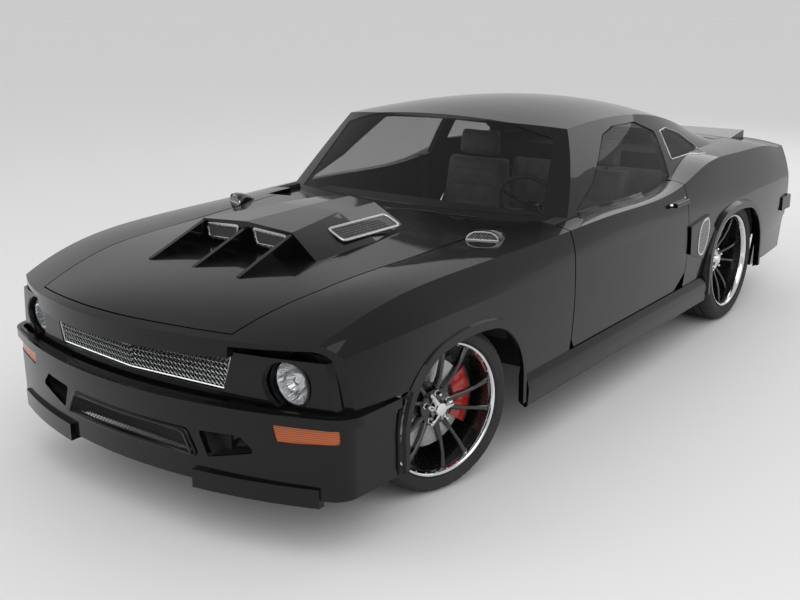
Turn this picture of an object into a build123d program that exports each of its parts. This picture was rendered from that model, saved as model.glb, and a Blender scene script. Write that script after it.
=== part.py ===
from build123d import *
from math import cos, radians, sin, sqrt
import os

os.makedirs("parts", exist_ok=True)

# A black two-door fastback muscle car, in millimetres.
# The car faces -Y, its left side is +X and the floor is Z = 0.
# Station values named *_Y in tables are measured rearward from the front axle.

# Driving dimensions of the whole car
LENGTH = 4760.0
FRONT_OVERHANG = 927.0
WHEELBASE = 2743.0
AXLE_F = -LENGTH / 2 + FRONT_OVERHANG
AXLE_R = AXLE_F + WHEELBASE
AXLE = {"front": AXLE_F, "rear": AXLE_R}
TAIL_Y = LENGTH - FRONT_OVERHANG

# Panels
SKIN = 20.0
SEAT_GAP = 0.4
PANEL_GAP = 6.0
SPLIT_HALF = 0.05
BODY_BOTTOM = 225.0

# Wheels: front and rear differ in width, radius and dish
TYRE_R = {"front": 330.0, "rear": 342.0}
TYRE_W = {"front": 235.0, "rear": 275.0}
RIM_FACE_X = {"front": 828.0, "rear": 884.0}
RIM_R = 262.0
BEAD_R = 252.0
RIM_WALL = 6.0
RIM_LIP = 9.0
HUB_DISH = {"front": 42.0, "rear": 92.0}
SPOKE_RIM_X = {"front": 20.0, "rear": 46.0}
SPOKES = 10
SPOKE_W = 22.0
HUB_R = 78.0
HUB_T = 44.0
NUT_CIRCLE_R = 57.0
NUT_TALL = 26.0
CAP_R = 34.0
CAP_TALL = 34.0
WING_R = 74.0
SPINDLE_R = 18.0
SPINDLE_GAP = 0.3
DISC_R = 178.0
DISC_T = 28.0

# Brakes, front suspension and rear axle
CALIPER_SIDE = 20.0
CALIPER_IN_R = 118.0
CALIPER_OUT_R = 205.0
CALIPER_ANGLES = (radians(-34), 0, radians(34))
BALL_R = 12.0
BALL_LOW_Z = 190.0
BALL_HIGH_Z = 470.0
CROSS_HALF = 420.0
CROSS_DEEP = 135.0
SPRING_X = 545.0
AXLE_TUBE_R = 38.0
DIFF_R = 90.0
SPRING_FRONT = 395.0
SPRING_REAR = 640.0
SPRING_HALF = 30.0
SPRING_EYE_Z = 384.0
PROP_R = 38.0
PROP_FRONT_Y = 1180.0
WHEELHOUSE_R = 384.0
HOUSE_T = 10.0
HOUSE_SIDE_X = {"front": 862.0, "rear": 900.0}
HOUSE_LOW = {"front": 515.0, "rear": 402.0}
HOUSE_IN_X = {"front": 430.0, "rear": 580.0}
RAIL_X = (320.0, CROSS_HALF - 40.4)

# Unibody
FIREWALL_Y = 712.0
FLOOR_Z = 262.0
FLOOR_T = 12.0
SILL_BOTTOM = 234.0
SILL_TOP = 342.0
TUNNEL_Z = 420.0
COWL_Z = 872.0
COWL_LIP = 14.0
COWL_HALF = 738.0
BOOT_FRONT_Y = 2760.0
BOOT_FLOOR_Z = 500.0
SEAT_PAN_Z = 440.0
SHELF_Z = 900.0
GUTTER_LEDGE = 12.0
FIREWALL_T = 14.0

# Wheel arches: half length and height over the wheel centre of the opening
ARCH_HALF = 384.0
ARCH_RISE = 300.0
FLARE_BAND = 58.0
FLARE_X = {"front": 917.0, "rear": 925.0}
FLARE_WALL = 14.0

# Front end
NOSE_R = 1410.0
FASCIA_R = 2050.0
FASCIA_Y = -872.0
FASCIA_TOP = 528.0
FASCIA_T = 24.0
CORNER_X = 880.0
CORNER_Y = -690.0
CORNER_R = 90.0
BUMPER_Z = 505.0
BUMPER_T = 34.0
BUMPER_OUT = 24.0
LOWER_OPENING = [(302, 405), (345, 318)]
LOWER_CORNER_R = 18.0
LOWER_MESH_SET = 26.0
GRILLE_HALF = 474.0
GRILLE_LOW = 556.0
SPLITTER_OUT = 20.0
SPLITTER_DROP = 24.0
SPLITTER_RISE = 44.0
SPLITTER_X = (335.0, 800.0)
GRILLE_HIGH = 690.0

# Doors
DOOR_FRONT_Y = 812.0
DOOR_REAR_Y = 2034.0
DOOR_BOTTOM = 352.0
DOOR_INNER_X = 766.0
DOOR_NOTCH_X = 808.0
DOOR_NOTCH_Y = 1046.0
DOOR_FLANGE = 20.0
HINGE_X = 886.0
HINGE_Y = DOOR_FRONT_Y - 60.0
HINGE_HEIGHTS = (470.0, 680.0)
HINGE_PIN_R = 6.0
HINGE_EYE_R = 11.0
HINGE_CHEEK = 10.0
DOOR_GAP = 8.0
FLANGE_T = 6.0
FLANGE_DEEP = 24.0
THIN_FRONT_Y = 690.0
HINGE_TALL = 36.0

# Hood and boot lid, each turning on barrel hinges in the gap at one end
HOOD_FRONT_SET = 38.0
HOOD_REAR_Y = 640.0
HOOD_HINGE_DROP = 13.0
LID_FRONT_Y = 3222.0
LID_REAR_Y = 3740.0
TAIL_PLATE_Y = 3764.0
TAIL_FACE_Y = 3790.0
LID_HALF = 560.0
LID_GUTTER = 26.0
LID_REAR_GAP = 8.0
LID_HINGE_X = 380.0
LID_AXIS_Z = 960.0
HOOD_HINGE_X = 420.0
EYE_HALF = 20.0
TAB_W = 12.0
NOTCH_HALF = 38.0
NOTCH_DEEP = 12.0
BARREL_R = 7.0
BARREL_PIN_R = 4.0

# Steering: the front wheels stand turned to the right, as parked
KINGPIN_X = 665.0
PARKED_TURN = -15.4
COLUMN_TILT = 22.0
STEERING_WHEEL_R = 180.0
STEERING_WHEEL_AT = (372.0, 1372.0, 812.0)
DASH_REAR_Y = 1140.0
DASH_Z = (640.0, 850.0)

# Tail
TAIL_BOTTOM = 430.0

# Greenhouse
ROOF_WALL = 30.0
ROOF_FOOT = 780.0
GLASS_T = 6.0
# Windshield's plan arcs: z, y on the centre line, x and y at the side
SCREEN_ARCS = (
    (840.0, 678.0, 900.0, 960.0),
    (1340.0, 1119.0, 760.0, 1440.0),
)

# Side view of the glass openings, y from the front axle and z
DOOR_WINDOW = (
    (1036, 850), (1036, 908), (1250, 1000), (1500, 1180), (1640, 1208),
    (1900, 1200), (2110, 1130), (2085, 908), (2046, 850),
)
QUARTER_WINDOW = ((2190, 985), (2190, 1118), (2300, 1120), (2480, 1075), (2660, 985), (2560, 975))
REAR_GLASS_Y = (2330.0, 3150.0)
ROOF_END_Y = LID_FRONT_Y - LID_GUTTER
GLASS_GAP = 7.0

# Front end depths
SIDE_X = 893.0
CHIN_Z = 226.0
PANEL_ARC_R = 2450.0
PANEL_ARC_Y = -826.0
PANEL_T = 22.0
MOUTH_TOP = 698.0
LAMP_X = 667.0
LAMP_Z = 606.0
LAMP_R = 82.0
LAMP_Y = -690.0
LAMP_DOME = 8.0
SKIRT_TOP = 345.0
GRILLE_Y = -812.0
MESH_T = 8.0
REAR_BUMPER_Z = 480.0
REAR_BUMPER_TALL = 84.0
REAR_BUMPER_HALF = 880.0
REAR_BUMPER_WALL = 14.0
REAR_BUMPER_WRAP = 150.0
FLARE_ROOT_X = 880.0
FLARE_TAPER = 24.0
FLARE_REACH = 41.0
SCOOP_FLOOR_X = 896.0

# Hood scoop: y, z of the crown, x and z of the top's edge, x and z of the side's foot
SCOOP_STATIONS = (
    (-212, 983, 240, 968, 385, 850),
    (150, 987, 165, 979, 405, 862),
    (421, 985, 140, 972, 330, 872),
    (590, 896, 60, 893, 90, 885),
)
SCOOP_FRONT_Y = -212.0
FIN_FRONT_Y = -500.0
FIN_TOP = 962.0
SCOOP_FINS = ((-9, 9), (228, 246), (-246, -228))

# Clearances
RUNNING_GAP = 5.0
FIT = 0.3

# Lower body stations: y, then x and z of the rocker line, crease, shoulder and hood or deck edge,
# and z of the centre line
STATION_COLUMNS = (
    "y", "x_low", "z_low", "x_crease", "z_crease", "x_shoulder", "z_shoulder", "x_edge", "z_edge", "z_top",
)
STATIONS = [
    dict(zip(STATION_COLUMNS, row))
    for row in (
        (-960, 690, 330, 650, 655, 610, 690, 455, 728, 742),
        (-700, 862, 330, 822, 700, 776, 752, 520, 800, 836),
        (-430, 888, 330, 894, 734, 815, 826, 572, 848, 864),
        (0, 894, 330, 904, 738, 846, 862, 600, 868, 884),
        (620, 894, 335, 907, 734, 872, 866, 640, 888, 903),
        (1200, 894, 340, 908, 726, 884, 872, 790, 889, 915),
        (2030, 892, 340, 906, 706, 868, 882, 770, 897, 960),
        (2400, 889, 336, 903, 701, 848, 944, 680, 972, 1008),
        (2800, 884, 335, 897, 700, 836, 944, 645, 972, 1002),
        (3150, 877, 336, 889, 699, 825, 930, 620, 957, 984),
        (3480, 864, 350, 876, 694, 812, 904, 600, 932, 957),
        (3790, 842, 380, 856, 682, 794, 870, 580, 902, 925),
    )
]

# Greenhouse stations: y, x and z of the belt, of the roof rail, and z of the centre line
ROOF_COLUMNS = ("y", "x_belt", "z_belt", "x_rail", "z_rail", "z_top")
ROOF_STATIONS = [
    dict(zip(ROOF_COLUMNS, row))
    for row in (
        (640, 800, 880, 660, 1150, 1215),
        (1250, 795, 880, 630, 1236, 1292),
        (1750, 790, 880, 622, 1242, 1312),
        (2250, 765, 885, 600, 1190, 1268),
        (2800, 705, 925, 545, 1065, 1128),
        (3200, 655, 925, 510, 962, 984),
        (3400, 640, 885, 500, 925, 945),
    )
]


def at_y(station_y):
    """Vertical sketch plane across the car, at a distance behind the front axle."""
    return Plane.XZ.offset(-(AXLE_F + station_y))


def write(part, name):
    part.label = name
    export_step(part, f"parts/{name}.step")


def both_sides(part):
    return Compound(children=[part, part.mirror(Plane.YZ)])


def box_between(x0, x1, y0, y1, z0, z1):
    """A plain block between two corners, with y measured from the front axle."""
    with BuildPart() as block:
        with Locations(((x0 + x1) / 2, AXLE_F + (y0 + y1) / 2, (z0 + z1) / 2)):
            Box(x1 - x0, y1 - y0, z1 - z0)
    return block.part


def mirrored_section(station_y, lines, arcs, floor_z):
    """Closed section across the car from its left half: a foot, then arcs as (middle, end), over the centre."""
    with BuildSketch(at_y(station_y)) as section:
        with BuildLine():
            for side in (1, -1):
                point = lines[0]
                for end in lines[1:]:
                    Line((side * point[0], point[1]), (side * end[0], end[1]))
                    point = end
                for middle, end in arcs[:-1]:
                    start = (side * point[0], point[1])
                    ThreePointArc(start, (side * middle[0], middle[1]), (side * end[0], end[1]))
                    point = end
            ThreePointArc(point, arcs[-1], (-point[0], point[1]))
            Line((-lines[0][0], floor_z), (lines[0][0], floor_z))
        make_face()
    return section.sketch


def body_form(inset, bottom):
    """The lower body, drawn in by inset, down to bottom."""
    faces = []
    for s in STATIONS:
        low = (s["x_low"] - inset, s["z_low"])
        crease = (s["x_crease"] - inset, s["z_crease"])
        shoulder = (s["x_shoulder"] - inset, s["z_shoulder"] - inset * 0.7)
        edge = (s["x_edge"], s["z_edge"] - inset)
        side_mid = ((low[0] + crease[0]) / 2 + 9, (low[1] + crease[1]) / 2)
        upper_mid = ((crease[0] + shoulder[0]) / 2 + 7, (crease[1] + shoulder[1]) / 2 + 2)
        deck_mid = ((shoulder[0] + edge[0]) / 2, (shoulder[1] + edge[1]) / 2 + 5)
        lines = [(low[0] - 12, bottom), low]
        arcs = [(side_mid, crease), (upper_mid, shoulder), (deck_mid, edge), (0, s["z_top"] - inset)]
        faces.append(mirrored_section(s["y"], lines, arcs, bottom))
    with BuildPart() as form:
        loft(faces)
    return form.part


def roof_form(inset):
    """The greenhouse, drawn in by inset, down into the body."""
    faces = []
    for s in ROOF_STATIONS:
        belt = (s["x_belt"] - inset, s["z_belt"])
        rail = (s["x_rail"] - inset, s["z_rail"] - inset * 0.5)
        side_mid = ((belt[0] + rail[0]) / 2 + 12, (belt[1] + rail[1]) / 2)
        lines = [(belt[0] + 4, ROOF_FOOT), belt]
        arcs = [(side_mid, rail), (0, s["z_top"] - inset)]
        faces.append(mirrored_section(s["y"], lines, arcs, ROOF_FOOT))
    with BuildPart() as form:
        loft(faces)
    return form.part


def side_prism(points, x0, x1):
    """Prism along X through a side-view outline; points are (y from the front axle, z)."""
    with BuildPart() as prism:
        with BuildSketch(Plane.YZ.offset(x0)):
            with BuildLine():
                Polyline(*[(AXLE_F + y, z) for y, z in points], close=True)
            make_face()
        extrude(amount=x1 - x0)
    return prism.part


def arch_prism(end, grow_half, grow_rise, foot, x0, x1, taper=0):
    """Low, squared arch over a wheel, its sides running down to foot, as a prism along X."""
    half, rise = ARCH_HALF + grow_half, ARCH_RISE + grow_rise
    axle, wheel_z = AXLE[end], TYRE_R[end]

    def at(y_share, z_share):
        return (axle + half * y_share, wheel_z + rise * z_share)

    with BuildPart() as prism:
        with BuildSketch(Plane.YZ.offset(x0)):
            with BuildLine():
                Line((axle - half, foot), at(-1, 0))
                ThreePointArc(at(-1, 0), at(-0.80, 0.70), at(-0.36, 0.965))
                ThreePointArc(at(-0.36, 0.965), at(0, 1), at(0.36, 0.965))
                ThreePointArc(at(0.36, 0.965), at(0.80, 0.70), at(1, 0))
                Line(at(1, 0), (axle + half, foot))
                Line((axle + half, foot), (axle - half, foot))
            make_face()
        extrude(amount=x1 - x0, taper=taper)
    return prism.part


def inside_nose(radius, front_y):
    """Everything behind a plan arc, to trim the nose."""
    with BuildPart() as keep:
        with BuildSketch(Plane.XY):
            with Locations((0, AXLE_F + front_y + radius)):
                Circle(radius)
            with Locations((0, AXLE_F + front_y + radius)):
                Rectangle(2400, LENGTH, align=(Align.CENTER, Align.MIN))
        extrude(amount=1400)
    return keep.part


def across(points):
    """A left-hand outline, from centre line to centre line, carried over to the right."""
    return points + [(-x, y) for x, y in reversed(points) if x > 0]


def left_half(part):
    return part & box_between(SPLIT_HALF, 1200, -1200, 4200, 0, 1500)


def plan_prism(points, z0, z1):
    """Upright prism through a plan outline; points are (x, y from the front axle)."""
    with BuildPart() as prism:
        with BuildSketch(Plane.XY.offset(z0)):
            with BuildLine():
                Polyline(*[(x, AXLE_F + y) for x, y in points], close=True)
            make_face()
        extrude(amount=z1 - z0)
    return prism.part


def nose_outline(out, back_y, z0, z1):
    """Plan of the front bumper line, moved out by out, as a prism back to back_y."""
    front = (0, AXLE_F + FASCIA_Y - out)
    corner = (CORNER_X + out, AXLE_F + CORNER_Y)
    slope = (SIDE_X - CORNER_X) / (-ARCH_HALF - CORNER_Y)
    side = (corner[0] + slope * (back_y - CORNER_Y), AXLE_F + back_y)
    with BuildPart() as prism:
        with BuildSketch(Plane.XY.offset(z0)) as plan:
            with BuildLine():
                ThreePointArc((-corner[0], corner[1]), front, corner)
                Polyline(corner, side, (-side[0], side[1]), (-corner[0], corner[1]))
            make_face()
            fillet(plan.vertices().sort_by(Axis.Y)[:2], CORNER_R + out)
        extrude(amount=z1 - z0)
    return prism.part


# Lower body and greenhouse: outer form and the hollow one skin thickness inside
outer_body = body_form(0, BODY_BOTTOM)
inner_body = body_form(SKIN, BODY_BOTTOM - 5)
frame_room = body_form(SKIN + SEAT_GAP, BODY_BOTTOM)
body_shell = outer_body - inner_body
outer_roof = roof_form(0)
inner_roof = roof_form(ROOF_WALL)


def windshield_block(back):
    """Everything behind the windshield's face, moved back by back."""
    faces = []
    for z, centre_y, side_x, side_y in SCREEN_ARCS:
        with BuildSketch(Plane.XY.offset(z)) as section:
            with BuildLine():
                side = (side_x, AXLE_F + side_y + back)
                rear = (side_x, AXLE_F + ROOF_END_Y)
                ThreePointArc((-side[0], side[1]), (0, AXLE_F + centre_y + back), side)
                Polyline(side, rear, (-rear[0], rear[1]), (-side[0], side[1]))
            make_face()
        faces.append(section.sketch)
    with BuildPart() as block:
        loft(faces)
    return block.part


# Regions of the left half of the body in plan, split along the hood and boot lid edges
hood_line = [(s["x_edge"], s["y"]) for s in STATIONS if s["y"] <= 620]
hood_line = hood_line[1:]
HOOD_CORNER = (490, -868)
half_gap = PANEL_GAP / 2


def hood_region(grow, rear):
    edge = [(x + grow, y) for x, y in [HOOD_CORNER] + hood_line] + [(642 + grow, rear)]
    return plan_prism(across([(0, -1000), (HOOD_CORNER[0] + grow, -1000)] + edge + [(0, rear)]), 500, 1200)


nose_keep = inside_nose(NOSE_R, -FRONT_OVERHANG)
hood_keep = inside_nose(NOSE_R, -FRONT_OVERHANG + HOOD_FRONT_SET)
lip_keep = inside_nose(NOSE_R, -FRONT_OVERHANG + HOOD_FRONT_SET - PANEL_GAP)
panel_keep = inside_nose(PANEL_ARC_R, PANEL_ARC_Y)
mouth_cut = box_between(-1000, 1000, -1100, -300, 0, MOUTH_TOP) - panel_keep


def side_panel_cuts(panel, end):
    """Add the flare that fades into the side, then cut the opening and the tyre's room behind it."""
    face_x = FLARE_X[end]
    band = arch_prism(end, FLARE_BAND * 0.4, FLARE_BAND * 0.6, 240, face_x, FLARE_ROOT_X, -FLARE_TAPER)
    room = arch_prism(end, FLARE_BAND * 0.55, FLARE_BAND * 0.7, 0, 500, face_x - FLARE_WALL)
    opening = arch_prism(end, 0, 0, 0, 500, 1000)
    return panel + (band - frame_room) - room - opening


# Front fender: everything outside the hood line, with the headlamp eyebrow's solid lip
fender_shell = body_shell & nose_keep
fender_lip = (outer_body & (nose_keep - lip_keep)) & box_between(0, 900, -1000, -600, MOUTH_TOP, 1000)
fender = (fender_shell + fender_lip) - mouth_cut - hood_region(half_gap, HOOD_REAR_Y + 6)
fender_rear_y = DOOR_FRONT_Y - DOOR_GAP
fender = fender & box_between(1, 1000, -1000, fender_rear_y, FASCIA_TOP + SEAT_GAP, 1300)
fender_low = body_shell & box_between(500, 1000, ARCH_HALF - 60, fender_rear_y, SKIRT_TOP, 700)
fender = fender + fender_low
thin_edge = body_form(FLANGE_T, BODY_BOTTOM)
thin_edge = thin_edge & box_between(700, 1000, THIN_FRONT_Y, DOOR_FRONT_Y + FLANGE_DEEP, 300, 850)
fender = fender - box_between(0, 700, HOOD_REAR_Y, 1000, 400, 1300) - frame_room - thin_edge
fender = side_panel_cuts(fender, "front")

# Nose panel between the fenders, ahead of the hood
nose = (outer_body & (nose_keep - lip_keep)) & hood_region(half_gap - SEAT_GAP, HOOD_REAR_Y)
nose = nose & box_between(-900, 900, -1000, -600, MOUTH_TOP, 1000)

# Hood skin with the scoop
hood_skin = body_shell & hood_keep & hood_region(-half_gap, HOOD_REAR_Y)
hood_skin = hood_skin & box_between(-900, 900, -1000, 700, MOUTH_TOP, 1300)


def scoop_form():
    """The hood scoop: a raised box that widens rearward and falls away at its tail."""
    faces = []
    for y, crown_z, top_x, top_z, base_x, base_z in SCOOP_STATIONS:
        half = [(base_x, 820), (base_x, base_z), (top_x, top_z), (0, crown_z)]
        with BuildSketch(at_y(y)) as section:
            with BuildLine():
                Polyline(*across(half), close=True)
            make_face()
        faces.append(section.sketch)
    with BuildPart() as form:
        loft(faces, ruled=True)
    return form.part


def scoop_fin(x_low, x_high):
    """Triangular fin ahead of the scoop's mouth."""
    back_y = SCOOP_FRONT_Y + 30
    outline = [
        (FIN_FRONT_Y, 820), (FIN_FRONT_Y, 860), (SCOOP_FRONT_Y, FIN_TOP), (back_y, FIN_TOP), (back_y, 820),
    ]
    return side_prism(outline, x_low, x_high)


scoop = scoop_form()
for x_low, x_high in SCOOP_FINS:
    scoop = scoop + scoop_fin(x_low, x_high)
hood_panel = hood_skin + (scoop - inner_body)
HOOD_AXIS_Y = HOOD_REAR_Y + 4
HOOD_AXIS_Z = 903 - HOOD_HINGE_DROP


def barrel(x0, x1, y, z, radius):
    """Round bar along X."""
    with BuildPart() as bar:
        with BuildSketch(Plane.YZ.offset(x0)):
            with Locations((AXLE_F + y, z)):
                Circle(radius)
        extrude(amount=x1 - x0)
    return bar.part


def hinge_eye(x, axis_y, axis_z, leaf_y):
    """Barrel with a leaf that reaches from the axis to leaf_y."""
    y0, y1 = sorted((axis_y, leaf_y))
    leaf = box_between(x - EYE_HALF, x + EYE_HALF, y0, y1, axis_z - BARREL_R, axis_z - 1)
    eye = barrel(x - EYE_HALF, x + EYE_HALF, axis_y, axis_z, BARREL_R) + leaf
    return eye - barrel(x - EYE_HALF - 5, x + EYE_HALF + 5, axis_y, axis_z, BARREL_PIN_R + FIT)


def hinge_fork(x, axis_y, axis_z, back_y, foot_z):
    """Two tabs with a pin between them, on the fixed side of a barrel hinge."""
    y0, y1 = sorted((axis_y, back_y))
    fork = barrel(x - EYE_HALF - TAB_W, x + EYE_HALF + TAB_W, axis_y, axis_z, BARREL_PIN_R)
    for x0 in (x - EYE_HALF - TAB_W, x + EYE_HALF + FIT):
        fork = fork + box_between(x0, x0 + TAB_W - FIT, y0, y1, foot_z, axis_z)
        fork = fork + barrel(x0, x0 + TAB_W - FIT, axis_y, axis_z, BARREL_R)
    return fork


for x in (HOOD_HINGE_X, -HOOD_HINGE_X):
    notch_front = HOOD_REAR_Y - NOTCH_DEEP
    notch = box_between(x - NOTCH_HALF, x + NOTCH_HALF, notch_front, HOOD_REAR_Y + 1, 800, 1000)
    hood_panel = (hood_panel - notch) + hinge_eye(x, HOOD_AXIS_Y, HOOD_AXIS_Z, HOOD_REAR_Y - 30)
write(hood_panel, "hood")


# Front fenders, written as a pair
write(both_sides(fender), "front_fenders")
write(nose, "nose_panel")


def plan_disc(x, y, z, radius, height):
    """Upright round bar, y from the front axle."""
    with BuildPart() as bar:
        with BuildSketch(Plane.XY.offset(z)):
            with Locations((x, AXLE_F + y)):
                Circle(radius)
        extrude(amount=height)
    return bar.part


# Door: outer skin flange round a thick box, cut back at its front so that it swings past the fender
door_outline = [
    (DOOR_FRONT_Y, 395), (DOOR_FRONT_Y, 1000), (DOOR_REAR_Y, 1000),
    (DOOR_REAR_Y, 430), (DOOR_REAR_Y - 110, DOOR_BOTTOM), (DOOR_FRONT_Y + 30, DOOR_BOTTOM),
]
box_front = DOOR_FRONT_Y + FLANGE_DEEP
box_rear = DOOR_REAR_Y - 14
door_skin = (outer_body & side_prism(door_outline, 800, 1000)) - inner_body
box_low = DOOR_BOTTOM + DOOR_FLANGE
door_box = outer_body & box_between(DOOR_INNER_X, 1000, DOOR_NOTCH_Y, box_rear, box_low, 1000)
door_front = outer_body & box_between(DOOR_NOTCH_X, 1000, box_front, DOOR_NOTCH_Y, box_low, 1000)
door = (door_skin + door_box + door_front) & side_prism(door_outline, 700, 1000)
roof_clear = box_between(700, DOOR_NOTCH_X, 700, DOOR_NOTCH_Y, 300, 1000)
door = door - roof_clear - (thin_edge & box_between(700, 1000, DOOR_FRONT_Y - 5, box_front, 300, 1000))


def door_strap(z):
    """Gooseneck hinge strap from the door's front edge to the pin."""
    outline = [
        (HINGE_X, HINGE_Y + 8), (HINGE_X - 50, HINGE_Y + 14), (HINGE_X - 50, box_front + 2),
        (HINGE_X - 64, box_front + 2), (HINGE_X - 64, HINGE_Y - 2), (HINGE_X - 54, HINGE_Y - 10),
        (HINGE_X, HINGE_Y - 10),
    ]
    strap = plan_prism(outline, z - HINGE_TALL / 2, z + HINGE_TALL / 2)
    strap = strap + plan_disc(HINGE_X, HINGE_Y, z - HINGE_TALL / 2, HINGE_EYE_R, HINGE_TALL)
    return strap - plan_disc(HINGE_X, HINGE_Y, z - HINGE_TALL, HINGE_PIN_R + FIT, 2 * HINGE_TALL)


for z in HINGE_HEIGHTS:
    door = door + door_strap(z)
handle = box_between(872, 926, 1830, 1985, 800, 822)
with BuildPart() as handle_bar:
    add(handle)
    fillet(handle_bar.edges().filter_by(Axis.Y), 6)
door = door + (handle_bar.part - inner_body)
write(door, "door_left")
write(door.mirror(Plane.YZ), "door_right")

# Greenhouse
screen = windshield_block(0)
greenhouse = outer_roof & screen
hollow_roof = inner_roof & windshield_block(ROOF_WALL)
thin_roof = roof_form(GLASS_T) & windshield_block(GLASS_T + 2)
roof_wall = (greenhouse - hollow_roof) - outer_body
glass_skin = (greenhouse - thin_roof) - outer_body


def window_cut(points, radius, grow):
    """Rounded window opening through both sides."""
    with BuildPart() as cut:
        with BuildSketch(Plane.YZ.offset(-1000)) as outline:
            with BuildLine():
                Polyline(*[(AXLE_F + y, z) for y, z in points], close=True)
            make_face()
            fillet(outline.vertices(), radius)
            if grow:
                offset(amount=grow)
        extrude(amount=2000)
    return cut.part


SCREEN_TILT = Plane(
    origin=(0, AXLE_F + 905, 1095),
    x_dir=(1, 0, 0),
    z_dir=(0, -(SCREEN_ARCS[1][0] - SCREEN_ARCS[0][0]), SCREEN_ARCS[1][1] - SCREEN_ARCS[0][1]),
)


def screen_cut():
    """Windshield opening, square to the glass."""
    with BuildPart() as cut:
        with BuildSketch(SCREEN_TILT) as outline:
            with BuildLine():
                Polyline(*across([(738, -330), (596, 238), (300, 264), (0, 268)]), close=True)
            make_face()
            fillet(outline.vertices().group_by(Axis.X)[0], 40)
        extrude(amount=600, both=True)
    return cut.part


glass_front, glass_end = REAR_GLASS_Y
rear_cut = plan_prism(across([(0, glass_front), (510, glass_front), (430, glass_end), (0, glass_end)]), 930, 1400)
door_window = window_cut(DOOR_WINDOW, 30, 0)
quarter_window = window_cut(QUARTER_WINDOW, 12, 0)
screen_opening = screen_cut() & box_between(-1000, 1000, 600, 1700, 780, 1400)
roof = roof_wall - door_window - quarter_window - screen_opening - rear_cut
write(roof, "roof_shell")
write(glass_skin & screen_opening, "windshield")
write(glass_skin & rear_cut, "rear_glass")
write(glass_skin & quarter_window, "quarter_glass")
door_glass = left_half(glass_skin & window_cut(DOOR_WINDOW, 30, -GLASS_GAP)) - door
write(door_glass, "door_glass_left")
write(door_glass.mirror(Plane.YZ), "door_glass_right")

# Quarter panels with the side scoop's pocket, cut for the door, boot lid and tail
quarter_region = box_between(1, 1000, DOOR_REAR_Y + PANEL_GAP, TAIL_PLATE_Y, BODY_BOTTOM, 1300)
skirt_room = box_between(0, 1000, 1900, WHEELBASE - ARCH_HALF + 20, 0, SKIRT_TOP + SEAT_GAP)
quarter = (outer_body & quarter_region) - inner_body - skirt_room
hole_half = LID_HALF + PANEL_GAP
lid_hole = box_between(-hole_half, hole_half, LID_FRONT_Y - LID_GUTTER, 4000, 860, 1300)
quarter = quarter - lid_hole - box_between(0, hole_half, LID_REAR_Y, 4000, 200, 1300)
quarter = quarter - (inner_roof & windshield_block(ROOF_WALL))
quarter = side_panel_cuts(quarter, "rear")
scoop_form_points = [(2056, 520), (2046, 668), (2300, 690), (2372, 600), (2230, 462)]
side_scoop = side_prism(scoop_form_points, 860, FLARE_X["rear"] - 4) - frame_room
mouth_outline = [(2000, 536), (2000, 654), (2180, 664), (2180, 500)]
side_mouth = side_prism(mouth_outline, SCOOP_FLOOR_X, FLARE_X["rear"] - 12)
quarter = (quarter + side_scoop) - side_mouth
quarter = quarter - box_between(0, 1000, DOOR_REAR_Y - 200, DOOR_REAR_Y + PANEL_GAP, 0, 1300)
quarter = quarter - arch_prism("rear", 0, 0, 0, 500, 1000)
write(both_sides(quarter), "quarter_panels")

# Boot lid and the barrel hinges in its front gutter
lid_region = box_between(-LID_HALF, LID_HALF, LID_FRONT_Y, LID_REAR_Y, 860, 1300)
spoiler_front = LID_REAR_Y - 260
spoiler_outline = [
    (spoiler_front, 925), (LID_REAR_Y - 10, 958), (LID_REAR_Y, 950), (LID_REAR_Y, 895), (spoiler_front, 895),
]
spoiler = side_prism(spoiler_outline, -LID_HALF, LID_HALF) - inner_body
lid = ((outer_body & lid_region) - inner_body + spoiler) & lid_region
LID_AXIS_Y = LID_FRONT_Y - 6
for x in (LID_HINGE_X, -LID_HINGE_X):
    notch_rear = LID_FRONT_Y + NOTCH_DEEP
    notch = box_between(x - NOTCH_HALF, x + NOTCH_HALF, LID_FRONT_Y - 1, notch_rear, 900, 1100)
    lid = (lid - notch) + hinge_eye(x, LID_AXIS_Y, LID_AXIS_Z, LID_FRONT_Y + 30)
write(lid, "boot_lid")

# Tail panel and rear bumper
tail_plate = box_between(-900, 900, TAIL_PLATE_Y + SEAT_GAP, TAIL_FACE_Y, TAIL_BOTTOM, 1000)
ledge_half = hole_half - SEAT_GAP
tail_ledge = box_between(-ledge_half, ledge_half, LID_REAR_Y + LID_REAR_GAP, TAIL_FACE_Y, 880, 1000)
tail_panel = outer_body & (tail_plate + tail_ledge)

write(tail_panel, "tail_panel")

# Front fascia under the bumper blade, with its lower opening and ducts
nose_end = -ARCH_HALF - FLARE_REACH - SEAT_GAP
fascia = nose_outline(0, nose_end, CHIN_Z, FASCIA_TOP)
fascia = fascia - nose_outline(-FASCIA_T, -ARCH_HALF, CHIN_Z - 10, FASCIA_TOP + 10)


def front_opening(points, radius, y0=-1000, y1=-700):
    """Opening seen from the front, through the fascia; points are (x, z)."""
    with BuildPart() as cut:
        with BuildSketch(at_y(y0)) as outline:
            with BuildLine():
                Polyline(*points, close=True)
            make_face()
            fillet(outline.vertices(), radius)
        extrude(amount=-(y1 - y0))
    return cut.part


fascia = fascia - front_opening(across(LOWER_OPENING), LOWER_CORNER_R)

# Splitter's corner blocks under the fascia
splitter = nose_outline(SPLITTER_OUT, nose_end, CHIN_Z - SPLITTER_DROP, CHIN_Z + SPLITTER_RISE)
splitter = splitter - nose_outline(-FASCIA_T - 4, -ARCH_HALF, 0, 400)
for side in (1, -1):
    x0, x1 = sorted((side * SPLITTER_X[0], side * SPLITTER_X[1]))
    fascia = fascia + (splitter & box_between(x0, x1, -1000, nose_end, 0, 400))

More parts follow.
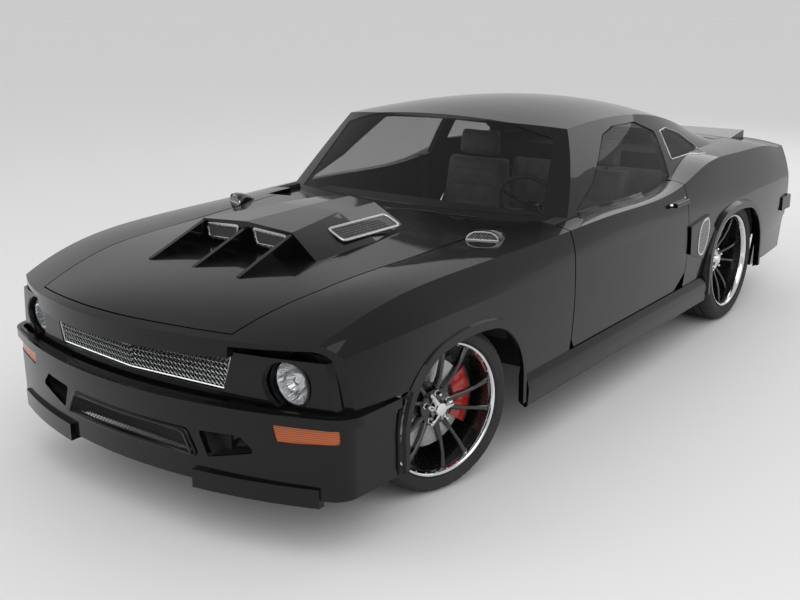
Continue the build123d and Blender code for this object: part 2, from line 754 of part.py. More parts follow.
# Ducts and lamp recesses
DUCT = [(356, 412), (520, 420), (578, 366), (392, 320)]
LAMP_SLOT = [(640, 478), (860, 478), (860, 430), (655, 418)]
for side in (1, -1):
    fascia = fascia - front_opening([(side * x, z) for x, z in DUCT][::side], 10)
    fascia = fascia - front_opening([(side * x, z) for x, z in LAMP_SLOT][::side], 8, -1000, -600)
write(fascia, "front_fascia")

# Bumper blade
blade_plan = nose_outline(BUMPER_OUT, nose_end, BUMPER_Z - BUMPER_T / 2, BUMPER_Z + BUMPER_T / 2)
blade = blade_plan - nose_outline(FIT, -ARCH_HALF, BUMPER_Z - 50, BUMPER_Z + 50)
write(blade, "front_bumper")

# Headlamp and grille surround: an upright curved panel with the grille opening and two lamp bores
surround = panel_keep - inside_nose(PANEL_ARC_R, PANEL_ARC_Y + PANEL_T)
mouth_z = (FASCIA_TOP + SEAT_GAP, MOUTH_TOP - SEAT_GAP)
surround = surround & box_between(-868, 868, -1000, -500, mouth_z[0], mouth_z[1]) & frame_room
surround = surround - front_opening(across([(GRILLE_HALF, GRILLE_HIGH), (GRILLE_HALF - 40, GRILLE_LOW)]), 4)


def round_y(x, y, z, radius, length):
    """Round bar along Y, starting y behind the front axle."""
    with BuildPart() as bar:
        with BuildSketch(at_y(y)):
            with Locations((x, z)):
                Circle(radius)
        extrude(amount=-length)
    return bar.part


def lamp(side):
    """Round headlamp: a bowl behind a slightly domed lens."""
    edge = LAMP_R - FIT
    dome_r = (edge * edge + LAMP_DOME * LAMP_DOME) / (2 * LAMP_DOME)
    dome_mid = (edge / 2, dome_r - LAMP_DOME - sqrt(dome_r * dome_r - edge * edge / 4))
    with BuildPart() as bowl:
        with BuildSketch(Plane.XY):
            with BuildLine():
                Line((0, -LAMP_DOME), (0, 66))
                Line((0, 66), (40, 60))
                Line((40, 60), (68, 36))
                Line((68, 36), (edge, 6))
                Line((edge, 6), (edge, 0))
                ThreePointArc((edge, 0), dome_mid, (0, -LAMP_DOME))
            make_face()
        revolve(axis=Axis.Y)
    return bowl.part.moved(Location((side * LAMP_X, AXLE_F + LAMP_Y, LAMP_Z)))


for side in (1, -1):
    bore = round_y(side * LAMP_X, -900, LAMP_Z, LAMP_R, 400)
    collar = round_y(side * LAMP_X, LAMP_Y - 26, LAMP_Z, LAMP_R + 9, 60) - bore
    surround = (surround - bore) + (collar & box_between(-900, 900, -900, -500, mouth_z[0], mouth_z[1]))
write(surround, "headlamp_panel")
write(Compound(children=[lamp(1), lamp(-1)]), "headlamps")


def slot_lamp(side):
    """Amber turn lamp that fills its slot in the fascia."""
    points = [(side * x, z) for x, z in LAMP_SLOT][::side]
    return front_opening(points, 8, -1000, -600) & lamp_band


lamp_band = nose_outline(-6, 0, 380, 500) - nose_outline(-FASCIA_T, 100, 370, 510)
write(Compound(children=[slot_lamp(1), slot_lamp(-1)]), "turn_lamps")

# Meshes: the grille in two flat wings that meet on the centre line, the lower mesh, and the side scoops
def diamond_mesh(points, radius, pitch, bar, frame, clear=0):
    """Diamond mesh cut to a rounded outline, with a solid frame, lying in the sketch plane."""
    xs = [x for x, _ in points]
    ys = [y for _, y in points]
    mid = ((min(xs) + max(xs)) / 2, (min(ys) + max(ys)) / 2)
    columns, rows = int((max(xs) - min(xs)) // pitch) + 1, int((max(ys) - min(ys)) // pitch) + 1
    hole = (pitch - bar) / sqrt(2)
    with BuildSketch() as sheet:
        with BuildLine():
            Polyline(*points, close=True)
        make_face()
        fillet(sheet.vertices(), radius)
        if clear:
            offset(amount=-clear)
    with BuildSketch() as inside:
        add(sheet.sketch)
        offset(amount=-frame)
    with BuildSketch() as holes:
        with Locations(mid):
            with GridLocations(pitch, pitch, columns, rows):
                Rectangle(hole, hole, rotation=45)
            with GridLocations(pitch, pitch, columns + 1, rows + 1):
                Rectangle(hole, hole, rotation=45)
        add(inside.sketch, mode=Mode.INTERSECT)
    return sheet.sketch - holes.sketch


def flat_solid(sketch, plane, thick):
    with BuildPart() as sheet:
        with BuildSketch(plane):
            add(sketch)
        extrude(amount=thick)
    return sheet.part


grille_points = [
    (0, GRILLE_LOW + 1), (GRILLE_HALF - 41, GRILLE_LOW + 1), (GRILLE_HALF - 3, GRILLE_HIGH - 1), (0, GRILLE_HIGH - 1),
]
grille_sketch = diamond_mesh(grille_points, 2, 30, 7, 8)


# Wheels, built on their own axis: X outward from the lip's face, then placed
def rim_profile(width):
    return [
        (0, RIM_R - 12), (0, RIM_R), (-RIM_LIP, RIM_R), (-RIM_LIP, BEAD_R), (RIM_LIP - width, BEAD_R),
        (RIM_LIP - width, RIM_R), (-width, RIM_R), (-width, BEAD_R - RIM_WALL), (-16, BEAD_R - RIM_WALL),
    ]


def ring(points):
    """Solid of revolution about X; points are (x, radius)."""
    with BuildPart() as turned:
        with BuildSketch(Plane.XY):
            with BuildLine():
                Polyline(*points, close=True)
            make_face()
        revolve(axis=Axis.X)
    return turned.part


def wheel(end):
    """Rim, ten spokes, hub, brake disc, five nuts and a three-winged spinner on a round cap."""
    width, dish = TYRE_W[end] - 18, HUB_DISH[end]
    hub_back = -dish - HUB_T
    disc_face = hub_back - 16
    reach = BEAD_R - RIM_WALL + 2
    with BuildPart() as body:
        add(ring(rim_profile(width)))
        add(ring([(-dish, 0), (-dish, HUB_R), (hub_back, HUB_R), (hub_back, 0)]))
        with BuildSketch(Plane.XZ):
            with BuildLine():
                Polyline(
                    (-dish, HUB_R - 10), (-SPOKE_RIM_X[end], reach), (-SPOKE_RIM_X[end] - 30, reach),
                    (hub_back + 12, HUB_R - 10), close=True,
                )
            make_face()
        spoke = extrude(amount=SPOKE_W / 2, both=True, mode=Mode.PRIVATE)
        for n in range(SPOKES):
            add(spoke.rotate(Axis.X, n * 360 / SPOKES))
        add(ring([(hub_back, 0), (hub_back, 64), (hub_back - 24, 64), (hub_back - 24, 0)]))
        add(ring([(disc_face, 50), (disc_face, DISC_R), (disc_face - DISC_T, DISC_R), (disc_face - DISC_T, 50)]))
        with BuildSketch(Plane.YZ.offset(-dish)):
            with PolarLocations(NUT_CIRCLE_R, 5):
                RegularPolygon(11, 6)
        extrude(amount=NUT_TALL)
        with BuildSketch(Plane.YZ.offset(-dish)):
            Circle(CAP_R)
        extrude(amount=CAP_TALL, taper=8)
        with BuildSketch(Plane.YZ.offset(-dish + CAP_TALL - 12)):
            with PolarLocations(0, 3, start_angle=30):
                SlotOverall(2 * WING_R, 22)
        extrude(amount=9)
        with BuildSketch(Plane.YZ.offset(hub_back - 16 - DISC_T)):
            Circle(SPINDLE_R + SPINDLE_GAP)
        extrude(amount=HUB_T + 16 + DISC_T - 10, mode=Mode.SUBTRACT)
        with BuildSketch(Plane.YZ.offset(hub_back - 16 - DISC_T)):
            Circle(40)
        extrude(amount=DISC_T - 4, mode=Mode.SUBTRACT)
    return body.part


def tyre(end):
    """Low-profile tyre that sits on the rim's bead seats."""
    width, tread_r = TYRE_W[end], TYRE_R[end]
    lip = 9
    shoulder = (-width + 24, tread_r - 14)
    with BuildPart() as body:
        with BuildSketch(Plane.XY):
            with BuildLine():
                Line((-lip - FIT, BEAD_R + FIT), (-lip - FIT, RIM_R + 4))
                ThreePointArc((-lip - FIT, RIM_R + 4), (lip - 1, (RIM_R + tread_r) / 2), (-6, tread_r - 14))
                ThreePointArc((-6, tread_r - 14), (-12, tread_r - 5.5), (-26, tread_r))
                Line((-26, tread_r), (-width + 44, tread_r))
                ThreePointArc((-width + 44, tread_r), (-width + 30, tread_r - 5.5), shoulder)
                ThreePointArc(shoulder, (-width + 9, (RIM_R + tread_r) / 2), (-width + 27 + FIT, RIM_R + 4))
                Line((-width + 27 + FIT, RIM_R + 4), (-width + 27 + FIT, BEAD_R + FIT))
                Line((-width + 27 + FIT, BEAD_R + FIT), (-lip - FIT, BEAD_R + FIT))
            make_face()
        revolve(axis=Axis.X)
    return body.part


def parked(part, side):
    """Turn a front-wheel piece about its kingpin to the parked steering angle."""
    kingpin = Axis((side * KINGPIN_X, AXLE_F, 0), (0, 0, 1))
    return part.rotate(kingpin, PARKED_TURN)


def placed(part, end):
    """Move a piece from its own wheel axis to the left wheel of an axle."""
    return part.moved(Location((RIM_FACE_X[end], AXLE[end], TYRE_R[end])))


for end in ("front", "rear"):
    for kind, make in (("wheel", wheel), ("tyre", tyre)):
        left = placed(make(end), end)
        right = left.mirror(Plane.YZ)
        if end == "front":
            left, right = parked(left, 1), parked(right, -1)
        write(left, f"{kind}_{end}_left")
        write(right, f"{kind}_{end}_right")


def caliper(end, side_y):
    """Brake caliper over the disc, on the left wheel's own axis."""
    disc_in = -HUB_DISH[end] - HUB_T - 16 - DISC_T
    disc_out = disc_in + DISC_T
    low_x, high_x = disc_in - CALIPER_SIDE, disc_out + CALIPER_SIDE
    with BuildPart() as body:
        with BuildSketch(Plane.YZ.offset(low_x)):
            with BuildLine():
                sweep = [(CALIPER_IN_R * cos(a), CALIPER_IN_R * sin(a)) for a in CALIPER_ANGLES]
                outer = [(CALIPER_OUT_R * cos(a), CALIPER_OUT_R * sin(a)) for a in CALIPER_ANGLES]
                ThreePointArc(sweep[0], sweep[1], sweep[2])
                Line(sweep[2], outer[2])
                ThreePointArc(outer[2], outer[1], outer[0])
                Line(outer[0], sweep[0])
            make_face()
        extrude(amount=high_x - low_x)
        with BuildSketch(Plane.YZ.offset(disc_in - RUNNING_GAP)):
            Circle(DISC_R + RUNNING_GAP)
        extrude(amount=DISC_T + 2 * RUNNING_GAP, mode=Mode.SUBTRACT)
    part = body.part
    return part if side_y > 0 else part.mirror(Plane.XZ)


def spindle(end, inner_x):
    """Stub axle from inner_x to the wheel's hub, on the left wheel's own axis."""
    hub_back = -HUB_DISH[end] - HUB_T - 16 - DISC_T
    with BuildPart() as stub:
        with BuildSketch(Plane.YZ.offset(inner_x - RIM_FACE_X[end])):
            Circle(SPINDLE_R)
        extrude(amount=RIM_FACE_X[end] - inner_x - HUB_DISH[end] - 14)
        with BuildSketch(Plane.YZ.offset(inner_x - RIM_FACE_X[end])):
            Circle(34)
        extrude(amount=hub_back - RUNNING_GAP - (inner_x - RIM_FACE_X[end]))
    return placed(stub.part, end)


# Front knuckles: an upright between two ball joints, with the stub axle and the caliper
upright = box_between(KINGPIN_X - 24, KINGPIN_X + 24, -32, 32, BALL_LOW_Z + 12, BALL_HIGH_Z - 12)
with BuildPart() as upright_block:
    add(upright)
    fillet(upright_block.edges().filter_by(Axis.Z), 12)
caliper_front = placed(caliper("front", 1), "front")
hub_z = TYRE_R["front"]
caliper_arm = box_between(KINGPIN_X - 8, KINGPIN_X + 14, 20, 128, hub_z - 28, hub_z + 28)
steer_arm = box_between(KINGPIN_X - 60, KINGPIN_X - 20, 20, 150, hub_z - 92, hub_z - 74)
steer_arm = steer_arm + box_between(KINGPIN_X - 60, KINGPIN_X - 4, 10, 32, hub_z - 92, hub_z - 74)
knuckle = upright_block.part + spindle("front", KINGPIN_X) + caliper_front + caliper_arm + steer_arm
for z in (BALL_LOW_Z, BALL_HIGH_Z - 40):
    knuckle = knuckle - plan_disc(KINGPIN_X, 0, z, BALL_R + FIT, 40)
write(parked(knuckle, 1), "knuckle_left")
write(parked(knuckle.mirror(Plane.YZ), -1), "knuckle_right")


def wishbone(z, inner_x, half_y, pin_z0, pin_z1):
    """A-shaped arm from two pivots on the crossmember to the ball joint's pin."""
    outline = [
        (inner_x, -half_y), (inner_x, -half_y + 46), (KINGPIN_X - 70, -6), (KINGPIN_X - 70, 6),
        (inner_x, half_y - 46), (inner_x, half_y), (KINGPIN_X + 20, 16), (KINGPIN_X + 20, -16),
    ]
    arm = plan_prism(outline, z - 10, z + 10)
    return arm + plan_disc(KINGPIN_X, 0, pin_z0, BALL_R, pin_z1 - pin_z0)


low_arm = wishbone(BALL_LOW_Z - 10, CROSS_HALF - 10, 130, BALL_LOW_Z - 20, BALL_LOW_Z + 40)
high_arm = wishbone(BALL_HIGH_Z + 10, CROSS_HALF - 10, 100, BALL_HIGH_Z - 40, BALL_HIGH_Z + 20)
arms = low_arm + high_arm
cross = box_between(-CROSS_HALF, CROSS_HALF, -CROSS_DEEP, CROSS_DEEP, BALL_LOW_Z - 20, BALL_LOW_Z + 45)
towers = box_between(CROSS_HALF - 40, CROSS_HALF, -CROSS_DEEP, CROSS_DEEP, BALL_LOW_Z, BALL_HIGH_Z + 30)
suspension = cross + towers + arms + (towers + arms).mirror(Plane.YZ)
write(suspension, "front_suspension")


# Rear axle: tube, differential, stub axles, calipers, leaf springs and propeller shaft
def rear_side(side):
    stub = spindle("rear", 560) + placed(caliper("rear", -1), "rear")
    stub = stub + box_between(640, 690, -130, -20, TYRE_R["rear"] - 26, TYRE_R["rear"] + 26).moved(
        Location((0, WHEELBASE, 0))
    )
    front, rear = WHEELBASE - SPRING_FRONT, WHEELBASE + SPRING_REAR
    leaves = [
        (front, SPRING_EYE_Z - 12), (WHEELBASE, 290), (rear, SPRING_EYE_Z - 12), (rear, SPRING_EYE_Z),
        (WHEELBASE, 308), (front, SPRING_EYE_Z),
    ]
    spring = side_prism(leaves, SPRING_X - SPRING_HALF, SPRING_X + SPRING_HALF)
    piece = stub + spring
    return piece if side > 0 else piece.mirror(Plane.YZ)


axle_tube = barrel(-640, 640, WHEELBASE, TYRE_R["rear"], AXLE_TUBE_R)
with BuildPart() as diff:
    with BuildSketch(Plane.XY) as diff_outline:
        with BuildLine():
            Line((-110, 0), (-110, 50))
            ThreePointArc((-110, 50), (0, DIFF_R), (110, 50))
            Line((110, 50), (110, 0))
            Line((110, 0), (-110, 0))
        make_face()
    revolve(axis=Axis.X)
diff_case = diff.part.moved(Location((0, AXLE_R, TYRE_R["rear"])))
shaft = round_y(0, PROP_FRONT_Y, TYRE_R["rear"], PROP_R, WHEELBASE - PROP_FRONT_Y)
rear_axle = axle_tube + diff_case + shaft + rear_side(1) + rear_side(-1)
write(rear_axle, "rear_axle")


# Unibody: floor with sills and tunnel, firewall, posts, wheelhouses, rails and rear floor
def floor_section():
    """Cross-section of the floor between the wheels: sill boxes, flat floor and the raised tunnel."""
    top = FLOOR_Z + FLOOR_T
    roof = TUNNEL_Z - FLOOR_T
    points = [
        (868, SILL_BOTTOM), (868, SILL_TOP), (770, SILL_TOP), (770, top), (150, top),
        (120, TUNNEL_Z), (-120, TUNNEL_Z), (-150, top), (-770, top), (-770, SILL_TOP),
        (-868, SILL_TOP), (-868, SILL_BOTTOM), (-740, SILL_BOTTOM), (-740, FLOOR_Z), (-138, FLOOR_Z),
        (-108, roof), (108, roof), (138, FLOOR_Z), (740, FLOOR_Z), (740, SILL_BOTTOM),
    ]
    with BuildPart() as floor:
        with BuildSketch(at_y(FIREWALL_Y)):
            with BuildLine():
                Polyline(*points, close=True)
            make_face()
        extrude(amount=FIREWALL_Y - WHEELBASE + ARCH_HALF + 30)
    return floor.part


def wheelhouse(end):
    """Round wheelhouse shell: an arched strip and an inner wall, open to the wheel."""
    inner_x = HOUSE_IN_X[end]
    with BuildPart() as house:
        with BuildSketch(Plane.YZ.offset(inner_x)):
            with Locations((AXLE[end], TYRE_R[end])):
                Circle(WHEELHOUSE_R + HOUSE_T)
        extrude(amount=HOUSE_SIDE_X[end] - inner_x)
        with BuildSketch(Plane.YZ.offset(inner_x + HOUSE_T)):
            with Locations((AXLE[end], TYRE_R[end])):
                Circle(WHEELHOUSE_R)
        extrude(amount=900, mode=Mode.SUBTRACT)
    y = 0 if end == "front" else WHEELBASE
    return house.part & box_between(inner_x, 900, y - 500, y + 500, HOUSE_LOW[end], 1000)


def arch_room(end):
    """Room for the tyre inside the wheelhouse."""
    with BuildPart() as room:
        with BuildSketch(Plane.YZ.offset(HOUSE_IN_X[end] + HOUSE_T)):
            with Locations((AXLE[end], TYRE_R[end])):
                Circle(WHEELHOUSE_R)
        extrude(amount=500)
    return room.part


def mirrored(part):
    return part + part.mirror(Plane.YZ)


floor = floor_section()
firewall_back = FIREWALL_Y - FLOOR_T + FIREWALL_T
firewall = box_between(-780, 780, FIREWALL_Y - FLOOR_T, firewall_back, FLOOR_Z, COWL_Z - FLOOR_T - SEAT_GAP)
firewall = firewall - box_between(-150, 150, FIREWALL_Y - 40, FIREWALL_Y + 40, 0, TUNNEL_Z)
front_post = box_between(740, 800, FIREWALL_Y, DOOR_FRONT_Y + 12, SILL_BOTTOM, 900)
dash_post = box_between(740, 800, FIREWALL_Y, DOOR_NOTCH_Y - 8, 700, 900)
pillar_foot = outer_body & box_between(740, 800, DOOR_FRONT_Y - 2, DOOR_NOTCH_Y - 8, 700, 1000)


def hinge_shelf(z):
    """Shelf on the front post with two cheeks and the pin of a door hinge."""
    inner, reach = HINGE_X - HINGE_CHEEK, HINGE_X + HINGE_CHEEK
    low, high = z - HINGE_TALL / 2, z + HINGE_TALL / 2
    shelf_block = box_between(790, reach, HINGE_Y - 56, HINGE_Y - 20, low - 14, high + 14)
    for z0, z1 in ((high + FIT, high + 14), (low - 14, low - FIT)):
        shelf_block = shelf_block + box_between(inner, reach, HINGE_Y - 40, HINGE_Y + 8, z0, z1)
    return shelf_block + plan_disc(HINGE_X, HINGE_Y, low - 14, HINGE_PIN_R, HINGE_TALL + 28)


hinges = hinge_shelf(HINGE_HEIGHTS[0]) + hinge_shelf(HINGE_HEIGHTS[1])
rear_post = box_between(790, 868, DOOR_REAR_Y + 14, DOOR_REAR_Y + 90, SILL_BOTTOM, 940)
rail = box_between(RAIL_X[0], RAIL_X[1], -800, FIREWALL_Y, 300, 390)
rail = rail + box_between(RAIL_X[0], RAIL_X[1], FIREWALL_Y - 130, FIREWALL_Y + 60, FLOOR_Z, 390)
apron = box_between(430, 442, -560, FIREWALL_Y, 515, 788)
for y0, y1, top in ((-760, -560, 700), (-560, -150, 520), (150, FIREWALL_Y, 520)):
    apron = apron + box_between(430, 442, y0, y1, 380, top) + box_between(370, 442, y0, y1, 380, 390)
apron_top = box_between(430, 900, -560, FIREWALL_Y, 776, 788)
support = box_between(-442, 442, -772, -752, 300, 400) + box_between(-442, 442, -772, -752, 700, 755)
support_side = box_between(430, 840, -640, -630, 400, 700) - round_y(LAMP_X, -800, LAMP_Z, LAMP_R + 14, 300)
support_side = support_side + box_between(430, 442, -760, -630, 300, 755)
rear_rail = box_between(470, 530, BOOT_FRONT_Y, TAIL_PLATE_Y, SEAT_PAN_Z, BOOT_FLOOR_Z + 2)
seat_x = (SPRING_X - SPRING_HALF, SPRING_X + SPRING_HALF)
front_eye, rear_eye = WHEELBASE - SPRING_FRONT, WHEELBASE + SPRING_REAR
spring_foot = SPRING_EYE_Z + SEAT_GAP
spring_seats = box_between(seat_x[0], seat_x[1], front_eye, front_eye + 30, spring_foot, SEAT_PAN_Z + 2)
spring_seats = spring_seats + box_between(seat_x[0], seat_x[1], rear_eye - 30, rear_eye, spring_foot, BOOT_FLOOR_Z + 2)
boot_floor = box_between(-880, 880, BOOT_FRONT_Y, TAIL_PLATE_Y, BOOT_FLOOR_Z, BOOT_FLOOR_Z + FLOOR_T)
riser_y = WHEELBASE - ARCH_HALF - 46
pan_top = SEAT_PAN_Z + FLOOR_T
seat_pan = box_between(-780, 780, riser_y + 6, BOOT_FRONT_Y + FLOOR_T, SEAT_PAN_Z, pan_top)
seat_riser = box_between(-780, 780, riser_y, riser_y + FLOOR_T, FLOOR_Z, pan_top)
seat_riser = seat_riser - box_between(-108, 108, 2000, 2500, 0, TUNNEL_Z - FLOOR_T)
bulkhead = box_between(-800, 800, BOOT_FRONT_Y, BOOT_FRONT_Y + FLOOR_T, SEAT_PAN_Z, SHELF_Z)
shelf = box_between(-800, 800, BOOT_FRONT_Y, ROOF_END_Y + GUTTER_LEDGE, SHELF_Z, SHELF_Z + FLOOR_T)
lid_fork = hinge_fork(LID_HINGE_X, LID_AXIS_Y, LID_AXIS_Z, ROOF_END_Y + SEAT_GAP, SHELF_Z + 5)
sides = front_post + dash_post + rear_post + rail + apron + apron_top
sides = mirrored(sides + support_side + rear_rail + spring_seats)
houses_room = mirrored(arch_room("front") + arch_room("rear"))
unibody = floor + firewall + sides + support + boot_floor + seat_pan + seat_riser + bulkhead + shelf
unibody = unibody - houses_room
unibody = unibody + mirrored(wheelhouse("front") + wheelhouse("rear"))
unibody = (unibody & frame_room) + mirrored(hinges + pillar_foot + lid_fork)
write(unibody, "unibody")

# Grille meshes, side scoop meshes and hood vents
GRILLE_SLOPE = 0.09
grille_face = (0, AXLE_F + GRILLE_Y, 0)
grille_back = Plane(origin=grille_face, x_dir=(1, GRILLE_SLOPE, 0), z_dir=(GRILLE_SLOPE, -1, 0))
wing = flat_solid(grille_sketch, grille_back, MESH_T)
upper_grille = wing + wing.mirror(Plane.YZ)
lower_points = across(LOWER_OPENING)
lower_sheet = diamond_mesh(lower_points, LOWER_CORNER_R, 30, 7, 8, FIT)
lower_mesh = flat_solid(lower_sheet, at_y(FASCIA_Y + LOWER_MESH_SET), -MESH_T)
scoop_points = [(2168, 512), (2168, 652), (2178, 652), (2178, 512)]
side_mesh = side_prism(scoop_points, SCOOP_FLOOR_X + FIT, FLARE_X["rear"] - 12 - FIT)
write(Compound(children=[upper_grille, lower_mesh, side_mesh, side_mesh.mirror(Plane.YZ)]), "grilles")

MOUTH_PLANE = Plane(origin=(0, AXLE_F + SCOOP_FRONT_Y - FIT, 0), x_dir=(1, 0, 0), z_dir=(0, -1, 0))
mouth_points = [(30, 898), (218, 892), (214, 956), (30, 968)]
mouth_mesh = flat_solid(diamond_mesh(mouth_points, 6, 18, 4, 7), MOUTH_PLANE, 5)
VENT_PLANE = Plane(origin=(285, AXLE_F + 170, 923.5), x_dir=(0, -1, 0), z_dir=(0.4273, 0.012, 0.9041))
vent_sketch = diamond_mesh([(-190, -50), (190, -50), (190, 50), (-190, 50)], 24, 18, 4, 8)
vent = flat_solid(vent_sketch, VENT_PLANE, 6) - hood_panel
vents = [mouth_mesh, mouth_mesh.mirror(Plane.YZ), vent, vent.mirror(Plane.YZ)]
write(Compound(children=vents), "hood_vents")

# Cowl panel, lower than the hood, up to the windshield
cowl_foot = COWL_Z - FLOOR_T
behind_lip = windshield_block(COWL_LIP)
cowl = (box_between(-COWL_HALF, COWL_HALF, HOOD_REAR_Y + 16, 1100, cowl_foot, COWL_Z) & frame_room) - behind_lip
cowl_region = box_between(-COWL_HALF, COWL_HALF, HOOD_REAR_Y + 16, 1000, cowl_foot, 1000)
upstand = (cowl_region & windshield_block(1) & outer_body) - behind_lip
cowl = cowl + upstand
for x in (HOOD_HINGE_X, -HOOD_HINGE_X):
    cowl = cowl + hinge_fork(x, HOOD_AXIS_Y, HOOD_AXIS_Z, HOOD_REAR_Y + 40, cowl_foot)
write(cowl, "cowl_panel")

# Wipers
def wiper(x0, y0, x1, y1):
    """Wiper lying along the foot of the glass: a post and a straight blade in plan."""
    post = box_between(x0 - 6, x0 + 10, y0 - 4, y0 + 12, COWL_Z + FIT, COWL_Z + 24)
    return post + plan_prism([(x0, y0), (x1, y1), (x1, y1 + 8), (x0, y0 + 8)], COWL_Z + 16, COWL_Z + 24)


write(Compound(children=[wiper(50, 682, 460, 738), wiper(-440, 734, -30, 680)]), "wipers")

# Tail lamps, rear bumper, sill skirts, exhaust, tank and engine
def rear_lamp(x):
    with BuildPart() as lens:
        with BuildSketch(at_y(TAIL_FACE_Y)):
            with Locations((x, 700)):
                RectangleRounded(78, 150, 14)
        extrude(amount=-12, taper=6)
    return lens.part


lamp_xs = [side * x for x in (430, 540, 650) for side in (1, -1)]
write(Compound(children=[rear_lamp(x) for x in lamp_xs]), "tail_lamps")
half, wall = REAR_BUMPER_HALF, REAR_BUMPER_WALL
wrap_y = AXLE_F + TAIL_FACE_Y - REAR_BUMPER_WRAP
back_y = AXLE_F + TAIL_FACE_Y
end_y = AXLE_F + TAIL_Y
bend = (half - 60, end_y - 6)
with BuildPart() as rear_bar:
    with BuildSketch(Plane.XY.offset(REAR_BUMPER_Z)):
        with BuildLine():
            Polyline((-half, wrap_y), (-half, back_y + 4), (-bend[0], bend[1]))
            ThreePointArc((-bend[0], bend[1]), (0, end_y), bend)
            Polyline(bend, (half, back_y + 4), (half, wrap_y))
            Polyline((half, wrap_y), (half - wall, wrap_y), (half - wall, back_y + FIT))
            Polyline((half - wall, back_y + FIT), (wall - half, back_y + FIT), (wall - half, wrap_y), (-half, wrap_y))
        make_face()
    extrude(amount=REAR_BUMPER_TALL)
write(rear_bar.part - outer_body, "rear_bumper")


def skirt():
    """Side skirt under the door, bulging past the sill."""
    with BuildPart() as bar:
        with BuildSketch(at_y(ARCH_HALF + 44)):
            with BuildLine():
                Polyline((868.4, 226), (900, 204), (912, 214), (916, 262))
                ThreePointArc((916, 262), (912, 312), (896, SKIRT_TOP))
                Polyline((896, SKIRT_TOP), (868.4, SKIRT_TOP), (868.4, 226))
            make_face()
        extrude(amount=-(WHEELBASE - 2 * ARCH_HALF - 88))
    return bar.part


write(both_sides(skirt() - fender - quarter), "sill_skirts")


PIPE_R = 26.0
PIPE_Z = FLOOR_Z - SEAT_GAP - PIPE_R
PIPE_X = 250.0
MUFFLER = (1900.0, 2300.0, 72.0, 56.0)
ENGINE_FOOT = BALL_LOW_Z + 45 + SEAT_GAP


def exhaust_pipe(side):
    """Pipe from the engine to the tail with a flat muffler under the floor."""
    x = side * PIPE_X
    y0, y1, half, tall = MUFFLER
    muffler = box_between(x - half, x + half, y0, y1, FLOOR_Z - SEAT_GAP - tall, FLOOR_Z - SEAT_GAP)
    return round_y(x, 480, PIPE_Z, PIPE_R, TAIL_Y - 540) + muffler


write(Compound(children=[exhaust_pipe(1), exhaust_pipe(-1)]), "exhaust")
write(box_between(-380, 380, 3120, 3640, 360, 500 - SEAT_GAP), "fuel_tank")
gearbox = box_between(-100, 100, 460, PROP_FRONT_Y - 4, 290, 390)
write(box_between(-290, 290, -330, 470, ENGINE_FOOT, 770) + gearbox, "engine_block")

# Cabin: dashboard, steering column and wheel, seats
dash = box_between(-730, 730, firewall_back + SEAT_GAP, DASH_REAR_Y, DASH_Z[0], DASH_Z[1])
dash = (dash & frame_room) - mirrored(dash_post)
write(dash, "dashboard")
column_plane = Plane(
    origin=(STEERING_WHEEL_AT[0], AXLE_F + STEERING_WHEEL_AT[1], STEERING_WHEEL_AT[2]),
    x_dir=(1, 0, 0), z_dir=(0, cos(radians(COLUMN_TILT)), sin(radians(COLUMN_TILT))),
)
with BuildPart() as column:
    with BuildSketch(column_plane.offset(-300)):
        Circle(32)
    extrude(amount=260)
    with BuildSketch(column_plane.offset(-60)):
        Circle(9)
    extrude(amount=50)
write(column.part - dash, "steering_column")
with BuildPart() as wheel_rim:
    with BuildSketch(column_plane):
        Circle(42)
    extrude(amount=14, both=True)
    with BuildSketch(column_plane):
        with PolarLocations(0, 3, start_angle=90):
            Rectangle(STEERING_WHEEL_R, 24, align=(Align.MIN, Align.CENTER))
    extrude(amount=3, both=True)
    with BuildSketch(column_plane.offset(-14)):
        Circle(9 + FIT)
    extrude(amount=8, mode=Mode.SUBTRACT)
rim_torus = Solid.make_torus(STEERING_WHEEL_R, 13, column_plane)
steering_wheel = wheel_rim.part + rim_torus
write(steering_wheel, "steering_wheel")


def seat(x, half, y0, floor_z, cushion_z, back_top):
    """Cushion and back as one closed soft solid, seen from the side."""
    outline = [
        (y0, floor_z), (y0 - 6, cushion_z - 20), (y0 + 20, cushion_z), (y0 + 440, cushion_z - 30),
        (y0 + 560, back_top - 40), (y0 + 600, back_top), (y0 + 660, back_top - 10),
        (y0 + 640, floor_z + 40), (y0 + 560, floor_z),
    ]
    return side_prism(outline, x - half, x + half)


front_seats = [seat(side * 372, 212, 1450, FLOOR_Z + FLOOR_T + FIT, 520, 1090) for side in (1, -1)]
write(Compound(children=front_seats), "front_seats")
bench_foot = pan_top + SEAT_GAP
bench_outline = [
    (2290, bench_foot), (2284, 540), (2310, 560), (2590, 530), (2690, 850), (2740, 850), (2740, bench_foot),
]
write(side_prism(bench_outline, -560, 560), "rear_seat")
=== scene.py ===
import math

import bmesh
import bpy
from mathutils import Matrix, Vector


